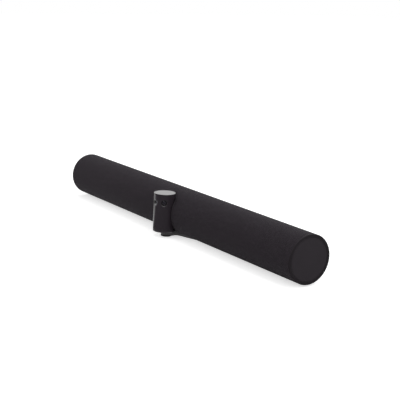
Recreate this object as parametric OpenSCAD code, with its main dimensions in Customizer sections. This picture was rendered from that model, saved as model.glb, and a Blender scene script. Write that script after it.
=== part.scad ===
// Conference camera: a fabric covered speaker bar with an upright pod of three cameras sunk
// in its front, a cast foot and arm under the pod, and a connector housing behind the bar.
// X runs along the bar, the front faces -Y and Z is up. The origin is on the table, under the
// middle of the whole device. Modules are drawn about the bar's own axis and set up by on_bar().

/* [Bar] */
// Length of the bar over its end rings
bar_len = 650; // [620:1:690]
// Diameter of the bar over the fabric
bar_d = 75; // [74:0.5:78]
// Gap between the underside of the bar and the table
under_gap = 2.6; // [2.2:0.1:4]
// Thickness of the knitted sleeve
fabric_t = 1; // [0.7:0.1:1.3]
// Wall of the perforated tube
tube_wall = 1.8; // [1.5:0.1:2.1]
// Length of a sound slot
slot_len = 10; // [6:0.5:11]
// Width of a sound slot
slot_w = 2.4; // [1.6:0.1:3]
// Distance from the middle of the bar to the first column of sound slots
slot_first = 110; // [105:1:120]
// Distance between columns of sound slots
slot_pitch = 14; // [12:0.5:16]
// Columns of sound slots on each side
slot_cols = 9; // [6:1:10]
// Rows of sound slots
slot_rows = 5; // [3:2:7]
// Angle between rows of sound slots
slot_row_angle = 13; // [9:1:13]

/* [Fits] */
// Gap between pieces that are pushed into each other
fit_gap = 0.1; // [0.05:0.05:0.2]
// Gap between curved faces that are glued or seated on each other
seat_gap = 0.1; // [0.05:0.05:0.15]

/* [Bar ends] */
// Radial width of the dark ring round an end disc
rim_w = 4.8; // [4.2:0.1:6]
// Thickness of the ring where it covers the edge of the sleeve
rim_t = 1.2; // [0.8:0.1:2]
// Rounding of the ring's outer edge
rim_edge_r = 0.6; // [0.3:0.1:0.7]
// Length of the ring's spigot inside the tube
spigot_len = 9; // [6:0.5:12]
// Thickness of the end disc
disc_t = 2; // [1.5:0.1:3]
// Depth of the end disc below the ring's face
disc_recess = 0.3; // [0.2:0.1:0.8]
// Width of the ledge that the end disc sits on
ledge_w = 2; // [1.5:0.1:3]
// Thickness of that ledge and of the disc's skirt
ledge_t = 1.5; // [1:0.1:2]

/* [Pod] */
// Diameter of the camera pod
pod_d = 36; // [35:0.5:38]
// Height of the camera pod
pod_h = 64.1; // [62:0.1:66]
// Height of the pod's top above the bar's axis
pod_top = 33.35; // [33:0.05:36]
// Distance of the pod's axis in front of the bar's axis
pod_forward = 37.35; // [36.5:0.05:39]
// Wall of the pod's shell
pod_wall = 2.2; // [1.8:0.1:2.4]
// Dark gap between the pod and the edge of the fabric
pod_gap = 1.6; // [1.4:0.1:2]
// Wall of the saddle that lines the pocket behind the pod
saddle_t = 1.1; // [0.8:0.1:1.2]
// Thickness of the pod's top ring and top disc
pod_top_t = 1.6; // [1.2:0.1:2.5]
// Radial width of the pod's top ring
pod_ring_w = 2.2; // [2:0.1:3.5]
// Thickness of the pod's base cap
pod_base_t = 1.6; // [1.2:0.1:2.5]
// Chamfer of the pod's top and bottom edges
pod_edge = 0.5; // [0.2:0.1:0.8]
// Height of the spigots that centre the pod's caps in its shell
pod_spigot_h = 3; // [2:0.5:5]

/* [Cameras] */
// Angle between neighbouring cameras
lens_angle = 55; // [52:1:60]
// Height of the lens axes below the pod's top
lens_drop = 14.3; // [13:0.1:16]
// Diameter of a lens recess at the pod's surface
lens_mouth_d = 11; // [9:0.5:12]
// Diameter of a lens recess at its floor
lens_floor_d = 6; // [5:0.1:6.2]
// Depth of a lens recess
lens_depth = 3.1; // [2.6:0.1:3.4]
// Diameter of a lens window
window_d = 6.8; // [6.4:0.1:7]
// Thickness of a lens window
window_t = 0.8; // [0.5:0.1:1]
// Diameter of a lens barrel
barrel_d = 7.2; // [6:0.1:7.4]
// Length of a lens barrel
barrel_len = 5.1; // [4.5:0.1:5.4]
// Diameter of the front glass in a barrel
glass_d = 4.8; // [4:0.1:5.2]
// Thickness of the front glass
glass_t = 1; // [0.6:0.1:1.4]
// Height of an image sensor board
sensor_h = 9; // [7.5:0.5:11]
// Thickness of an image sensor board
sensor_t = 1; // [0.8:0.1:1.2]
// Diameter of the camera bracket's column
bracket_d = 19.2; // [18.6:0.2:20]
// Diameter of the hollow in the column
bracket_bore_d = 8; // [6:0.5:9]

/* [Foot and arm] */
// Diameter of the neck and of the front foot
neck_d = 18.1; // [17.5:0.1:20]
// Distance of the neck's axis behind the pod's axis
neck_back = 5.35; // [4.5:0.05:6]
// Thickness of the front foot's pad
foot_t = 2.8; // [2.4:0.1:3.4]
// Height of the casting's underside above the table
arm_clear = 0.9; // [0.6:0.1:1.2]
// Distance of the arm's corner behind the neck's axis
flare_back = 14.9; // [13:0.1:16]
// Angle of the flare's front edge
flare_angle = 16.7; // [12:0.1:20]
// Radius of the concave corner between arm and flare
flare_r = 6.6; // [4:0.1:8]
// How far the casting's plate stays inside the housing's sides
plate_inset = 1.5; // [1:0.1:4]
// Thickness of the casting's floor
floor_t = 3; // [2.6:0.1:3.6]
// Diameter of a rear foot
rear_foot_d = 14; // [10:0.5:16]
// Depth of the recess that holds a rear foot
rear_foot_recess = 1.2; // [0.8:0.1:1.5]
// Distance of a rear foot from the middle
rear_foot_x = 46; // [40:0.5:48]
// Distance of the rear feet behind the bar's axis
rear_foot_y = 50; // [46:0.5:54]
// Minor diameter of the quarter inch tripod thread
tripod_thread_d = 5.1; // [5.1]
// Outer diameter of the tripod insert
tripod_d = 8.4; // [7.5:0.1:9]
// Length of the tripod insert
tripod_len = 9; // [7:0.5:10]
// Distance of the tripod insert behind the bar's axis
tripod_y = 31.5; // [31:0.5:33]

/* [Rear housing] */
// Width of the housing on each side of the connector bay
hood_side = 18; // [18:0.5:22]
// Height of the housing's back edge above the bar's axis
hood_back_z = 9.5; // [9:0.5:12]
// Height of the housing's top where it meets the bar
hood_front_z = 26; // [25:0.5:26.5]
// Distance behind the bar's axis where the housing's top meets the bar
hood_front_y = 26; // [25:0.5:26.5]
// Wall of the housing
hood_wall = 2.2; // [1.8:0.1:2.4]
// Rounding of the housing's top back edge
hood_top_r = 9; // [6:0.5:10]
// Rounding of the housing's upright corners
hood_corner_r = 10; // [6:0.5:11]
// Width of a vent slot
vent_w = 2; // [1.4:0.1:2.4]
// Length of a vent slot
vent_len = 18; // [12:1:20]
// Distance between vent slots
vent_pitch = 5; // [4:0.5:6]
// Number of vent slots
vent_count = 19; // [11:2:21]
// Height of the connector bay
bay_h = 15; // [14.6:0.1:15.4]
// Depth of the connector bay
bay_depth = 8.65; // [8:0.05:9]
// Wall round the connector bay
bay_wall = 1.8; // [1.5:0.1:2]

/* [Wall mount and lock] */
// Thickness of the steel mounting plate
mount_t = 2.2; // [2:0.1:3]
// How far the mounting plate reaches past the connector bay on each side
mount_margin = 6.5; // [5.5:0.5:7]
// Width of the mounting plate's legs
mount_leg_w = 4; // [3:0.5:4]
// Distance between the mounting threads
mount_spacing = 75; // [75]
// Tapping diameter of the M4 mounting threads
mount_thread_d = 3.3; // [3.3]
// Outer diameter of the press nuts round the mounting threads
mount_nut_d = 8; // [7:0.5:9]
// Length of the press nuts behind the plate
mount_nut_len = 5; // [4:0.5:6]
// Length of the security lock slot
lock_slot_len = 7; // [7]
// Width of the security lock slot
lock_slot_w = 3; // [3]
// Length of the lock slot's steel plate
lock_plate_len = 14; // [12:0.5:16]
// Height of the lock slot's steel plate
lock_plate_h = 10; // [8:0.5:11]

/* [Connectors] */
// Thickness of the connector board and the main board
board_t = 1.6; // [1.2:0.1:1.6]
// Height of the stand-offs under the connector board
io_standoff_h = 3.6; // [3.2:0.1:4]
// Depth of the connector board from front to back
io_board_d = 21; // [20:0.5:21]
// Thickness of the port panel
panel_t = 1.2; // [1:0.1:1.5]
// How far the sockets stand out of the port panel
port_proud = 0.3; // [0.2:0.1:0.5]
// Gap between a socket and its hole in the port panel
port_gap = 0.15; // [0.1:0.05:0.2]
// Gap between neighbouring sockets
port_spacing = 3.5; // [3:0.1:4]
// Width of the power jack
dc_w = 9; // [8.5:0.1:9.5]
// Height of the power jack
dc_h = 11; // [10:0.5:12]
// Diameter of the power jack's hole
dc_hole_d = 6.4; // [6:0.1:7]
// Diameter of the power jack's pin
dc_pin_d = 2.1; // [2:0.1:2.5]
// Width of the network jack
eth_w = 16; // [15.5:0.1:16.5]
// Height of the network jack
eth_h = 13.2; // [13:0.1:13.4]
// Width of the network jack's mouth
eth_mouth_w = 11.9; // [11.7:0.1:12.2]
// Height of the network jack's mouth
eth_mouth_h = 7; // [6.8:0.1:7.4]
// Width of the slot for a network plug's latch
eth_latch_w = 6.2; // [6:0.1:6.5]
// Height of the slot for a network plug's latch
eth_latch_h = 2.6; // [2:0.1:2.8]
// Width of the video socket
video_w = 15; // [14.6:0.1:15.4]
// Height of the video socket
video_h = 5.6; // [5.4:0.1:6]
// Width of a flat serial socket
serial_w = 13.2; // [13:0.1:13.8]
// Height of a flat serial socket
serial_h = 6.4; // [6:0.1:6.6]
// Width of the small reversible socket
reversible_w = 9; // [8.8:0.1:9.4]
// Height of the small reversible socket
reversible_h = 3.3; // [3.2:0.1:3.6]
// Sheet thickness of the metal sockets
socket_t = 0.4; // [0.3:0.05:0.5]
// Depth of the sockets behind the panel
socket_depth = 13.5; // [12:0.5:15]
// Depth of the small reversible socket
reversible_depth = 8; // [7:0.1:8.2]
// Depth of the network and power jacks
jack_depth = 20; // [18:0.5:20]
// Distance from the sleeve to the inner end of the network jack
jack_gap = 8.3; // [8.1:0.1:12]
// Width of the part of the bay that holds the buttons and the small socket
key_zone_w = 16.6; // [16.6:0.1:18]

/* [Buttons] */
// Diameter of the pairing button
pair_d = 4.8; // [4.4:0.1:5.2]
// Diameter of the reset button
reset_d = 2.4; // [2.2:0.1:2.8]
// How far the pairing button stands out of the panel
pair_proud = 1.2; // [1:0.1:1.8]
// Depth of the reset button's face below the panel's face
reset_sink = 0.4; // [0.2:0.1:0.6]
// Travel of the buttons
button_travel = 0.8; // [0.6:0.1:0.9]
// Radial gap round the buttons in the panel
button_gap = 0.15; // [0.1:0.05:0.2]
// Width of a button's retaining flange beyond its stem
button_flange_w = 0.8; // [0.6:0.1:1]
// Length of a button behind the panel
button_tail = 2.8; // [2.4:0.1:3.4]
// Distance of the buttons from the panel's end
button_inset = 7; // [6:0.1:7.5]
// Distance between the two buttons
button_pitch = 7; // [6.6:0.1:7.4]
// Depth of the buttons' axes below the bay's top
button_drop = 4.5; // [4:0.1:5]

/* [Woofers] */
// Distance from a speaker box's inner end to the woofer's axis
woofer_inset = 50; // [45:1:55]
// Diameter of a woofer's flange
woofer_d = 49.2; // [46:0.2:50]
// Thickness of the woofer's and tweeter's flanges
flange_t = 1.5; // [1.2:0.1:1.8]
// Width of a woofer's flange inside its rim
woofer_lip = 3.2; // [2.8:0.1:3.6]
// Depth of a woofer's basket
basket_depth = 12; // [11:0.5:13]
// Outer radius of the basket's bottom
basket_low_r = 16.5; // [15.5:0.5:17.5]
// Sheet thickness of the basket
basket_t = 1.5; // [1.2:0.1:1.8]
// Radius of the voice coil's former
coil_r = 7.5; // [7:0.1:8]
// Thickness of the paper and film parts
paper_t = 0.4; // [0.3:0.05:0.5]
// Thickness of the coil's winding
winding_t = 0.25; // [0.15:0.05:0.3]
// Air gap on each side of the voice coil
air_gap = 0.4; // [0.3:0.05:0.5]
// Thickness of the steel plates of the magnet
steel_t = 2; // [1.6:0.1:2.4]
// Radius of the magnet ring
magnet_r = 16; // [14:0.5:17]
// Thickness of the magnet ring
magnet_t = 8; // [7:0.5:10]
// Width of the surround's roll
roll_w = 3.2; // [2.8:0.1:3.4]

/* [Tweeters] */
// Distance from a speaker box's inner end to the tweeter's axis
tweeter_inset = 110; // [105:1:120]
// Diameter of a tweeter's flange
tweeter_d = 28; // [26:0.5:30]
// Radius of a tweeter's motor
tweeter_motor_r = 11.5; // [11:0.1:12]
// Depth of a tweeter behind its flange
tweeter_depth = 8.5; // [8:0.5:12]
// Radius of a tweeter's dome
dome_r = 9.8; // [9.4:0.1:10]
// Height of a tweeter's dome
dome_h = 4; // [3:0.1:5]

/* [Speaker boxes] */
// Distance from the middle of the bar to a speaker box
box_start = 95; // [92:1:98]
// Distance from a speaker box's outer end to the end ring's spigot
box_end_gap = 14.8; // [8:0.2:24]
// Wall of a speaker box
box_wall = 2; // [1.6:0.1:2.4]
// Gap between a speaker box and the tube
box_gap = 0.3; // [0.2:0.1:0.5]
// Thickness of a baffle
baffle_t = 2.5; // [2:0.1:3]

/* [Electronics] */
// Depth of the chassis rail below the bar's axis
rail_drop = 26.5; // [26:0.1:27]
// Thickness of the chassis rail
rail_t = 2; // [1.6:0.1:2.4]
// Distance from an end of the chassis rail to the speaker box beside it
rail_end_gap = 7; // [5:0.5:12]
// Height of the rail's stiffening ribs
rail_rib_h = 4; // [3:0.5:5]
// Height of the stand-offs under the main board
board_standoff_h = 6.5; // [6:0.1:7.5]
// Distance of the main board's edges inside the rail's
board_inset = 1; // [0.5:0.1:1.5]
// Width of the main processor
processor_w = 21; // [18:0.5:24]
// Thickness of the chips
chip_t = 1.6; // [1.2:0.1:2]
// Width of the heat sink
sink_w = 52; // [44:1:60]
// Depth of the heat sink from front to back
sink_d = 24; // [20:0.5:24]
// Thickness of the heat sink's base and fins
sink_t = 2; // [1.5:0.1:2.5]
// Height of the heat sink's fins
fin_h = 8; // [5:0.5:9]
// Number of fins
fin_count = 9; // [5:1:11]
// Width of an antenna board
antenna_w = 26; // [20:0.5:28]
// Height of an antenna board
antenna_h = 20; // [16:0.5:22]
// Thickness of the antenna boards
thin_board_t = 0.8; // [0.6:0.1:1]
// Distance from the middle of the bar to the first microphone
mic_first = 40; // [36:1:44]
// Distance between microphones
mic_pitch = 70; // [60:1:74]
// Microphones on each side
mic_count = 4; // [2:1:4]
// Width of a microphone board
mic_board_w = 8; // [6:0.5:9]
// Thickness of a microphone board
mic_board_t = 1; // [0.8:0.1:1.2]
// Diameter of a microphone's sound hole
mic_hole_d = 2; // [1.2:0.1:2.4]
// Height of a microphone's can
mic_can_h = 1; // [0.8:0.1:1.2]
// Thickness of a microphone's gasket
gasket_t = 1; // [0.8:0.1:1.2]
// Thickness of the ribbon cables
ribbon_t = 0.4; // [0.3:0.05:0.5]
// Width of the pod's ribbon cable
pod_ribbon_w = 12; // [8:0.5:12]
// Width of the connector board's ribbon cable
io_ribbon_w = 28; // [20:1:28]

/* [Screws] */
// Diameter of the screw shafts
screw_d = 2.9; // [2.9]
// Diameter of the screw heads
screw_head_d = 5.2; // [5:0.1:5.4]
// Height of the screw heads
screw_head_h = 1.6; // [1.4:0.1:1.8]
// Distance of the inner pair of base screws from the middle
base_screw_x = 22; // [20:0.5:26]
// Distance of the outer pair of base screws from the middle
base_screw_wide_x = 50; // [48:0.5:54]
// Distance of the base screws behind the bar's axis
base_screw_y = 12; // [11:0.5:14]

/* [Hidden] */
$fn = 96;
// Overrun of every cut past the faces that it opens
cut_over = 2;
// Steps of a drawn arc
arc_steps = 8;

// Finishes
fabric_colour = "#302c30";
satin_black = "#2c282c";
deep_black = "#1d1a1e";
disc_grey = "#353135";
gloss_top = "#4a464c";
rubber_black = "#1c1b1c";
cast_grey = "#2f2c30";
alloy = "#b4b7bb";
steel_grey = "#8d9095";
brass_yellow = "#b58f45";
glass_tint = "#20232c";
board_green = "#1f5a3c";
chip_black = "#202124";
socket_silver = "#b9bcc0";
plastic_black = "#232225";
paper_black = "#26262a";
film_amber = "#b9722c";
foam_grey = "#55575a";

// Bar
bar_r = bar_d / 2;
half_len = bar_len / 2;
tube_end = half_len - rim_t;
tube_r = bar_r - fabric_t - seat_gap;
tube_in_r = tube_r - tube_wall;
axis_z = bar_r + under_gap;

// Bar ends
rim_in_r = bar_r - rim_w;
spigot_r = tube_in_r - fit_gap;
ledge_z = disc_recess + disc_t;
ledge_in_r = rim_in_r - ledge_w;

// Pod
pod_r = pod_d / 2;
pod_y = -pod_forward;
pod_bottom = pod_top - pod_h;
pod_in_r = pod_r - pod_wall;
pocket_r = pod_r + pod_gap;
saddle_r = pocket_r - fit_gap;
pod_cap_r = pod_r - pod_ring_w;
pod_floor = pod_bottom + pod_base_t;
pod_screw_top = pod_floor + pod_spigot_h * 2;

// Cameras, as distances from the pod's axis
lens_z = pod_top - lens_drop;
lens_floor = pod_r - lens_depth;
window_back = lens_floor - window_t - fit_gap / 2;
window_seat_r = window_d / 2 + fit_gap;
barrel_front = window_back - fit_gap;
sensor_front = barrel_front - barrel_len - fit_gap;
sensor_back = sensor_front - sensor_t;
sensor_half_w = sensor_back * tan(lens_angle / 2) - fit_gap;
bracket_flat = sensor_back - fit_gap;
bracket_corner = bracket_flat / cos(lens_angle / 2);
bracket_cut_h = sensor_h + barrel_d;
bracket_top = lens_z + sensor_h;
glass_front = barrel_front - fit_gap;
boss_r = lens_mouth_d / 2;

// Connector bay: its width holds the sockets, and its depth starts behind the network jack
socket_widths = [dc_w, eth_w, video_w, serial_w, serial_w];
bay_half_w = (dc_w + eth_w + video_w + serial_w * 2 + port_spacing * 6 + key_zone_w) / 2;
floor_z0 = arm_clear - axis_z;
floor_z1 = floor_z0 + floor_t;
io_z0 = floor_z1 + io_standoff_h;
io_z1 = io_z0 + board_t;
bay_z0 = io_z1 - panel_t;
bay_z1 = bay_z0 + bay_h;
port_y = sqrt(pow(bar_r, 2) - pow(io_z1 + eth_h, 2)) + jack_gap + jack_depth;
bay_y = port_y - port_proud;
rear_reach = bay_y + bay_depth;
hood_half_w = bay_half_w + hood_side;
plate_half_w = hood_half_w - plate_inset;
axis_y = (pod_forward + pod_r - rear_reach) / 2;

// Foot and arm
neck_r = neck_d / 2;
neck_y = pod_y + neck_back;
table_z = -axis_z;
neck_bottom = table_z + foot_t;
arm_top = pod_bottom - seat_gap;
flare_y = neck_y + flare_back;
flare_end_y = flare_y + (plate_half_w - neck_r) * tan(flare_angle);
plate_back_y = rear_reach - hood_wall;
saddle_back_y = hood_front_y - hood_wall;
foot_stem_r = neck_r / 5;
pod_screw_x = foot_stem_r + screw_head_d / 2 + fit_gap * 7;
foot_stem_h = foot_t;
tripod_boss_r = tripod_d / 2 + hood_wall;

// Rear housing
hood_slope = atan((hood_front_z - hood_back_z) / (rear_reach - hood_front_y));
panel_y = bay_y - panel_t;
panel_margin = bay_wall + fit_gap;
io_y1 = panel_y - fit_gap;
io_y0 = io_y1 - io_board_d;
io_half_w = bay_half_w;
wall_y = rear_reach - hood_wall;
post_r = screw_d + fit_gap;
post_x = hood_half_w - hood_wall - post_r - seat_gap;
post_h = bay_h;

// Wall mount
mount_y0 = wall_y - mount_t;
mount_half_w = bay_half_w + mount_margin;
mount_z0 = bay_z1 + bay_wall + fit_gap;
mount_z1 = hood_back_z - hood_top_r * tan((90 - hood_slope) / 2) - fit_gap;
mount_z = (mount_z0 + mount_z1) / 2;
mount_window_x = mount_half_w - mount_leg_w - mount_leg_w;
mount_window_h = mount_nut_d + mount_leg_w;
mount_tab_y = mount_y0 - screw_head_d - mount_leg_w;
mount_leg_x = mount_half_w - mount_leg_w;
post_y1 = mount_tab_y - post_r - fit_gap * 4;
post_y0 = post_y1 - io_board_d;
mount_tab_x = mount_leg_x + screw_head_d + fit_gap * 4;
mount_screw_x = (mount_leg_x + mount_tab_x) / 2;
lock_y = tripod_y + lock_plate_len;
lock_z = mount_z;
lock_x = hood_half_w - hood_wall;

// Sockets, from one end of the bay to the other
function row_x(i) = i == 0 ? port_spacing - bay_half_w
    : row_x(i - 1) + socket_widths[i - 1] + port_spacing;
button_wide_x = bay_half_w - button_inset;
button_near_x = button_wide_x - button_pitch;
button_z = bay_z1 - button_drop;
reversible_x = (button_wide_x + button_near_x) / 2;
stem_back = panel_y - button_tail;
switch_y = stem_back - button_travel - fit_gap;
switch_w = button_pitch - fit_gap;
switch_t = serial_h / 2;
riser_t = switch_t;

// Speaker boxes
woofer_x = box_start + woofer_inset;
tweeter_x = box_start + tweeter_inset;
box_end = half_len - rim_t - spigot_len - box_end_gap;

// Speakers: the woofers' flanges reach as far forward as the tube lets them
speaker_front = sqrt(pow(tube_in_r, 2) - pow(woofer_d / 2 + box_gap, 2));
baffle_front = -speaker_front + flange_t;
baffle_back = baffle_front + baffle_t;
box_r = tube_in_r - box_gap;
woofer_r = woofer_d / 2;
basket_in_r = woofer_r - woofer_lip;
basket_top_r = basket_in_r + basket_t;
pole_r = coil_r - paper_t - air_gap;
gap_r = coil_r + winding_t + air_gap;
plate_z = -basket_depth - basket_t;
magnet_z = plate_z - steel_t;
yoke_z = magnet_z - magnet_t;
yoke_end = yoke_z - steel_t;
magnet_in_r = gap_r + basket_t;
plate_r = magnet_r - basket_t / 2;
spider_z = -basket_depth + basket_t;
roll_r = basket_in_r - roll_w / 4;
cone_edge_r = roll_r - roll_w / 2;
cone_lip_w = paper_t * 4;
cone_z = -basket_depth * 3 / 4;
winding_z0 = plate_z - steel_t - basket_t;
winding_z1 = plate_z + basket_t / 2;
cap_r = coil_r + basket_t;
cap_rise = basket_t * 2;

// Electronics
rail_half = box_start - rail_end_gap;
rail_z0 = -rail_drop;
rail_z1 = rail_z0 + rail_t;
rail_y0 = pod_y + pocket_r + rail_t * 2;
rail_y1 = sqrt(pow(tube_in_r, 2) - pow(rail_drop, 2)) - box_gap * 2;
board_z0 = rail_z1 + board_standoff_h;
board_z1 = board_z0 + board_t;
board_y0 = rail_y0 + board_inset;
board_y1 = rail_y1 - board_inset;
board_half = rail_half - board_inset * 4;
board_mid_y = (board_y0 + board_y1) / 2;
chip_z1 = board_z1 + chip_t;
mic_top = sqrt(pow(tube_in_r, 2) - pow(mic_board_w / 2, 2)) - gasket_t;
mic_bottom = mic_top - mic_board_t;
gasket_r = mic_board_w / 2 - mic_board_t;
gasket_top = sqrt(pow(tube_in_r, 2) - pow(gasket_r, 2)) - seat_gap;
box_top = mic_bottom - mic_can_h - box_gap * 2;
mic_end = mic_first + (mic_count - 1) * mic_pitch;
slit_h = pod_ribbon_w / 2;
slit_z = -slit_h;
ribbon_back_y = pod_y + bracket_d / 2 + box_gap;
pod_ribbon_end_y = board_y0 + rail_t;
io_ribbon_y = io_y0 + rail_t;
io_ribbon_end_y = board_y1 - rail_t / 2;

// Shares of the main board's half length and depth: place, then size, of each smaller chip
chip_shares = [
    [-0.62, 0.30, 0.16, 0.40], [-0.38, 0.62, 0.10, 0.30], [-0.40, 0.20, 0.10, 0.30],
    [0.46, 0.34, 0.12, 0.36], [0.60, 0.70, 0.14, 0.34], [0.64, 0.22, 0.08, 0.24]
];
// Shares of the main board's half length where its stand-offs are
standoff_shares = [-0.96, -0.32, 0.32, 0.96];

module on_bar() {
    translate([0, axis_y, axis_z]) children();
}

module on_side(side) {
    if (side > 0) children();
    else mirror([1, 0, 0]) children();
}

module both_sides() {
    for (side = [-1, 1]) on_side(side) children();
}

module block(x0, x1, y0, y1, z0, z1) {
    translate([x0, y0, z0]) cube([x1 - x0, y1 - y0, z1 - z0]);
}

module post(x, y, r, z0, z1) {
    translate([x, y, z0]) cylinder(r = r, h = z1 - z0);
}

module rod_x(r, x0, x1) {
    translate([x0, 0, 0]) rotate([0, 90, 0]) cylinder(r = r, h = x1 - x0);
}

// Local +Z points inward from the right end of the bar
module at_end(side) {
    on_side(side) translate([half_len, 0, 0]) rotate([0, -90, 0]) children();
}

// Local +Z points out of the pod along a camera's axis
module at_lens(angle) {
    translate([0, pod_y, lens_z]) rotate([0, 0, angle]) rotate([90, 0, 0]) children();
}

// Local +Z points forward out of a speaker's flange
module at_speaker(x) {
    translate([x, -speaker_front, 0]) rotate([90, 0, 0]) children();
}

function unit(v) = v / norm(v);
function arc(c, r, a0, a1) = [
    for (i = [0:arc_steps]) c + r * [cos(a0 + (a1 - a0) * i / arc_steps),
                                     sin(a0 + (a1 - a0) * i / arc_steps)]
];
// Arc that rounds the corner p between its neighbours a and b
function corner(a, p, b, r) =
    let (u = unit(a - p), w = unit(b - p), half = acos(u * w) / 2,
         c = p + unit(u + w) * r / sin(half),
         s = p + u * r / tan(half) - c, e = p + w * r / tan(half) - c,
         a0 = atan2(s[1], s[0]), turn = atan2(s[0] * e[1] - s[1] * e[0], s * e))
    arc(c, r, a0, a0 + turn);
function rounded(pts, radii) = [
    for (i = [0:len(pts) - 1])
        each radii[i] == 0 ? [pts[i]]
            : corner(pts[(i + len(pts) - 1) % len(pts)], pts[i], pts[(i + 1) % len(pts)], radii[i])
];

// Upright cylinder round the pod, open in the bar's front, top and bottom
module pocket(r) {
    post(0, pod_y, r, -bar_r - cut_over, bar_r + cut_over);
}

// Slot through the back of the bar for the connector board's ribbon
module back_slot(extra) {
    block(-io_ribbon_w / 2 - extra, io_ribbon_w / 2 + extra, 0, bar_r + cut_over,
          -slit_h / 2 - extra, slit_h / 2 + extra);
}

module at_base_screws() {
    for (x = [-base_screw_wide_x, -base_screw_x, base_screw_x, base_screw_wide_x])
        translate([x, base_screw_y, 0]) children();
}

module fabric_sleeve() {
    color(fabric_colour) on_bar() difference() {
        rod_x(bar_r, -tube_end, tube_end);
        rod_x(bar_r - fabric_t, -tube_end - cut_over, tube_end + cut_over);
        pocket(pocket_r);
        back_slot(fit_gap);
        at_base_screws() post(0, 0, screw_d / 2 + fit_gap, -bar_r - cut_over, 0);
    }
}

module perforated_tube() {
    color(alloy) on_bar() difference() {
        rod_x(tube_r, -tube_end, tube_end);
        rod_x(tube_in_r, -tube_end - cut_over, tube_end + cut_over);
        pocket(pocket_r);
        back_slot(0);
        at_base_screws() post(0, 0, screw_d / 2 + fit_gap, -bar_r - cut_over, 0);
        both_sides() for (i = [0:slot_cols - 1], j = [0:slot_rows - 1])
            rotate([(j - (slot_rows - 1) / 2) * slot_row_angle, 0, 0])
                translate([slot_first + i * slot_pitch, -tube_r, 0])
                    cube([slot_len, 2 * (tube_wall + cut_over), slot_w], center = true);
        both_sides() for (i = [0:mic_count - 1])
            post(mic_first + i * mic_pitch, 0, mic_hole_d / 2, 0, bar_r);
    }
}

module end_ring(side) {
    color(deep_black) on_bar() at_end(side) rotate_extrude() polygon(concat(
        [[rim_in_r, 0]],
        arc([bar_r - rim_edge_r, rim_edge_r], rim_edge_r, -90, 0),
        [[bar_r, rim_t], [spigot_r, rim_t], [spigot_r, rim_t + spigot_len],
         [rim_in_r, rim_t + spigot_len], [rim_in_r, ledge_z + ledge_t],
         [ledge_in_r, ledge_z + ledge_t], [ledge_in_r, ledge_z], [rim_in_r, ledge_z]]));
}

module end_disc(side) {
    disc_r = rim_in_r - fit_gap;
    skirt_r = ledge_in_r - fit_gap;
    color(disc_grey) on_bar() at_end(side) rotate_extrude() polygon([
        [0, disc_recess], [disc_r - disc_recess, disc_recess], [disc_r, disc_recess * 2],
        [disc_r, ledge_z], [skirt_r, ledge_z], [skirt_r, rim_t + spigot_len],
        [skirt_r - ledge_t, rim_t + spigot_len], [skirt_r - ledge_t, ledge_z], [0, ledge_z]]);
}

// Windows for the pod's ribbon through the shell and the saddle
module ribbon_window() {
    block(-pod_ribbon_w / 2 - fit_gap * 2, pod_ribbon_w / 2 + fit_gap * 2, pod_y + pod_in_r / 2,
          0, slit_z - slit_h / 2, slit_z + slit_h / 2);
}

module pod_saddle() {
    color(plastic_black) on_bar() difference() {
        intersection() {
            pocket(saddle_r);
            rod_x(tube_r - saddle_t, -pocket_r, pocket_r);
        }
        pocket(saddle_r - saddle_t);
        ribbon_window();
    }
}

module pod_shell() {
    color(satin_black) on_bar() difference() {
        union() {
            difference() {
                post(0, pod_y, pod_r, pod_floor, pod_top - pod_top_t);
                post(0, pod_y, pod_in_r, pod_floor - cut_over, pod_top);
            }
            for (angle = [-lens_angle, 0, lens_angle])
                at_lens(angle) translate([0, 0, window_back])
                    cylinder(r = boss_r, h = pod_in_r - window_back + pod_wall / 2);
        }
        for (angle = [-lens_angle, 0, lens_angle]) at_lens(angle) {
            translate([0, 0, lens_floor]) cylinder(
                r1 = lens_floor_d / 2,
                r2 = lens_mouth_d / 2 + (lens_mouth_d - lens_floor_d) / 2 * cut_over / lens_depth,
                h = lens_depth + cut_over);
            cylinder(r = window_seat_r, h = lens_floor);
        }
        ribbon_window();
    }
}

module pod_top_ring() {
    z1 = pod_top;
    z0 = pod_top - pod_top_t;
    color(gloss_top) on_bar() translate([0, pod_y, 0]) rotate_extrude() polygon([
        [pod_cap_r, z0], [pod_r - pod_edge, z0], [pod_r, z0 + pod_edge], [pod_r, z1 - pod_edge],
        [pod_r - pod_edge, z1], [pod_cap_r, z1]]);
}

module pod_top_disc() {
    cap_r = pod_cap_r - fit_gap;
    spigot = pod_in_r - fit_gap;
    z0 = pod_top - pod_top_t;
    color(gloss_top) on_bar() translate([0, pod_y, 0]) rotate_extrude() polygon([
        [0, z0 - pod_base_t], [spigot - pod_wall, z0 - pod_base_t],
        [spigot - pod_wall, z0 - pod_spigot_h], [min(spigot, cap_r), z0 - pod_spigot_h],
        [min(spigot, cap_r), z0], [cap_r, z0], [cap_r, pod_top - fit_gap * 2],
        [cap_r - fit_gap, pod_top - fit_gap], [0, pod_top - fit_gap]]);
}

module at_pod_screws() {
    for (x = [-pod_screw_x, pod_screw_x]) translate([x, neck_y, 0]) children();
}

module pod_base_cap() {
    spigot = pod_in_r - fit_gap;
    color(satin_black) on_bar() difference() {
        translate([0, pod_y, 0]) rotate_extrude() polygon([
            [0, pod_bottom], [pod_r - pod_edge, pod_bottom], [pod_r, pod_bottom + pod_edge],
            [pod_r, pod_floor], [spigot, pod_floor], [spigot, pod_floor + pod_spigot_h],
            [spigot - pod_base_t, pod_floor + pod_spigot_h], [spigot - pod_base_t, pod_floor],
            [0, pod_floor]]);
        at_pod_screws() post(0, 0, screw_d / 2 + fit_gap, pod_bottom - cut_over, pod_floor + cut_over);
    }
}

// Point on the pod's plan: out along a lens's direction, then across it
function turned(angle, out, across) =
    out * [sin(angle), -cos(angle)] + across * [cos(angle), sin(angle)];

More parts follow.
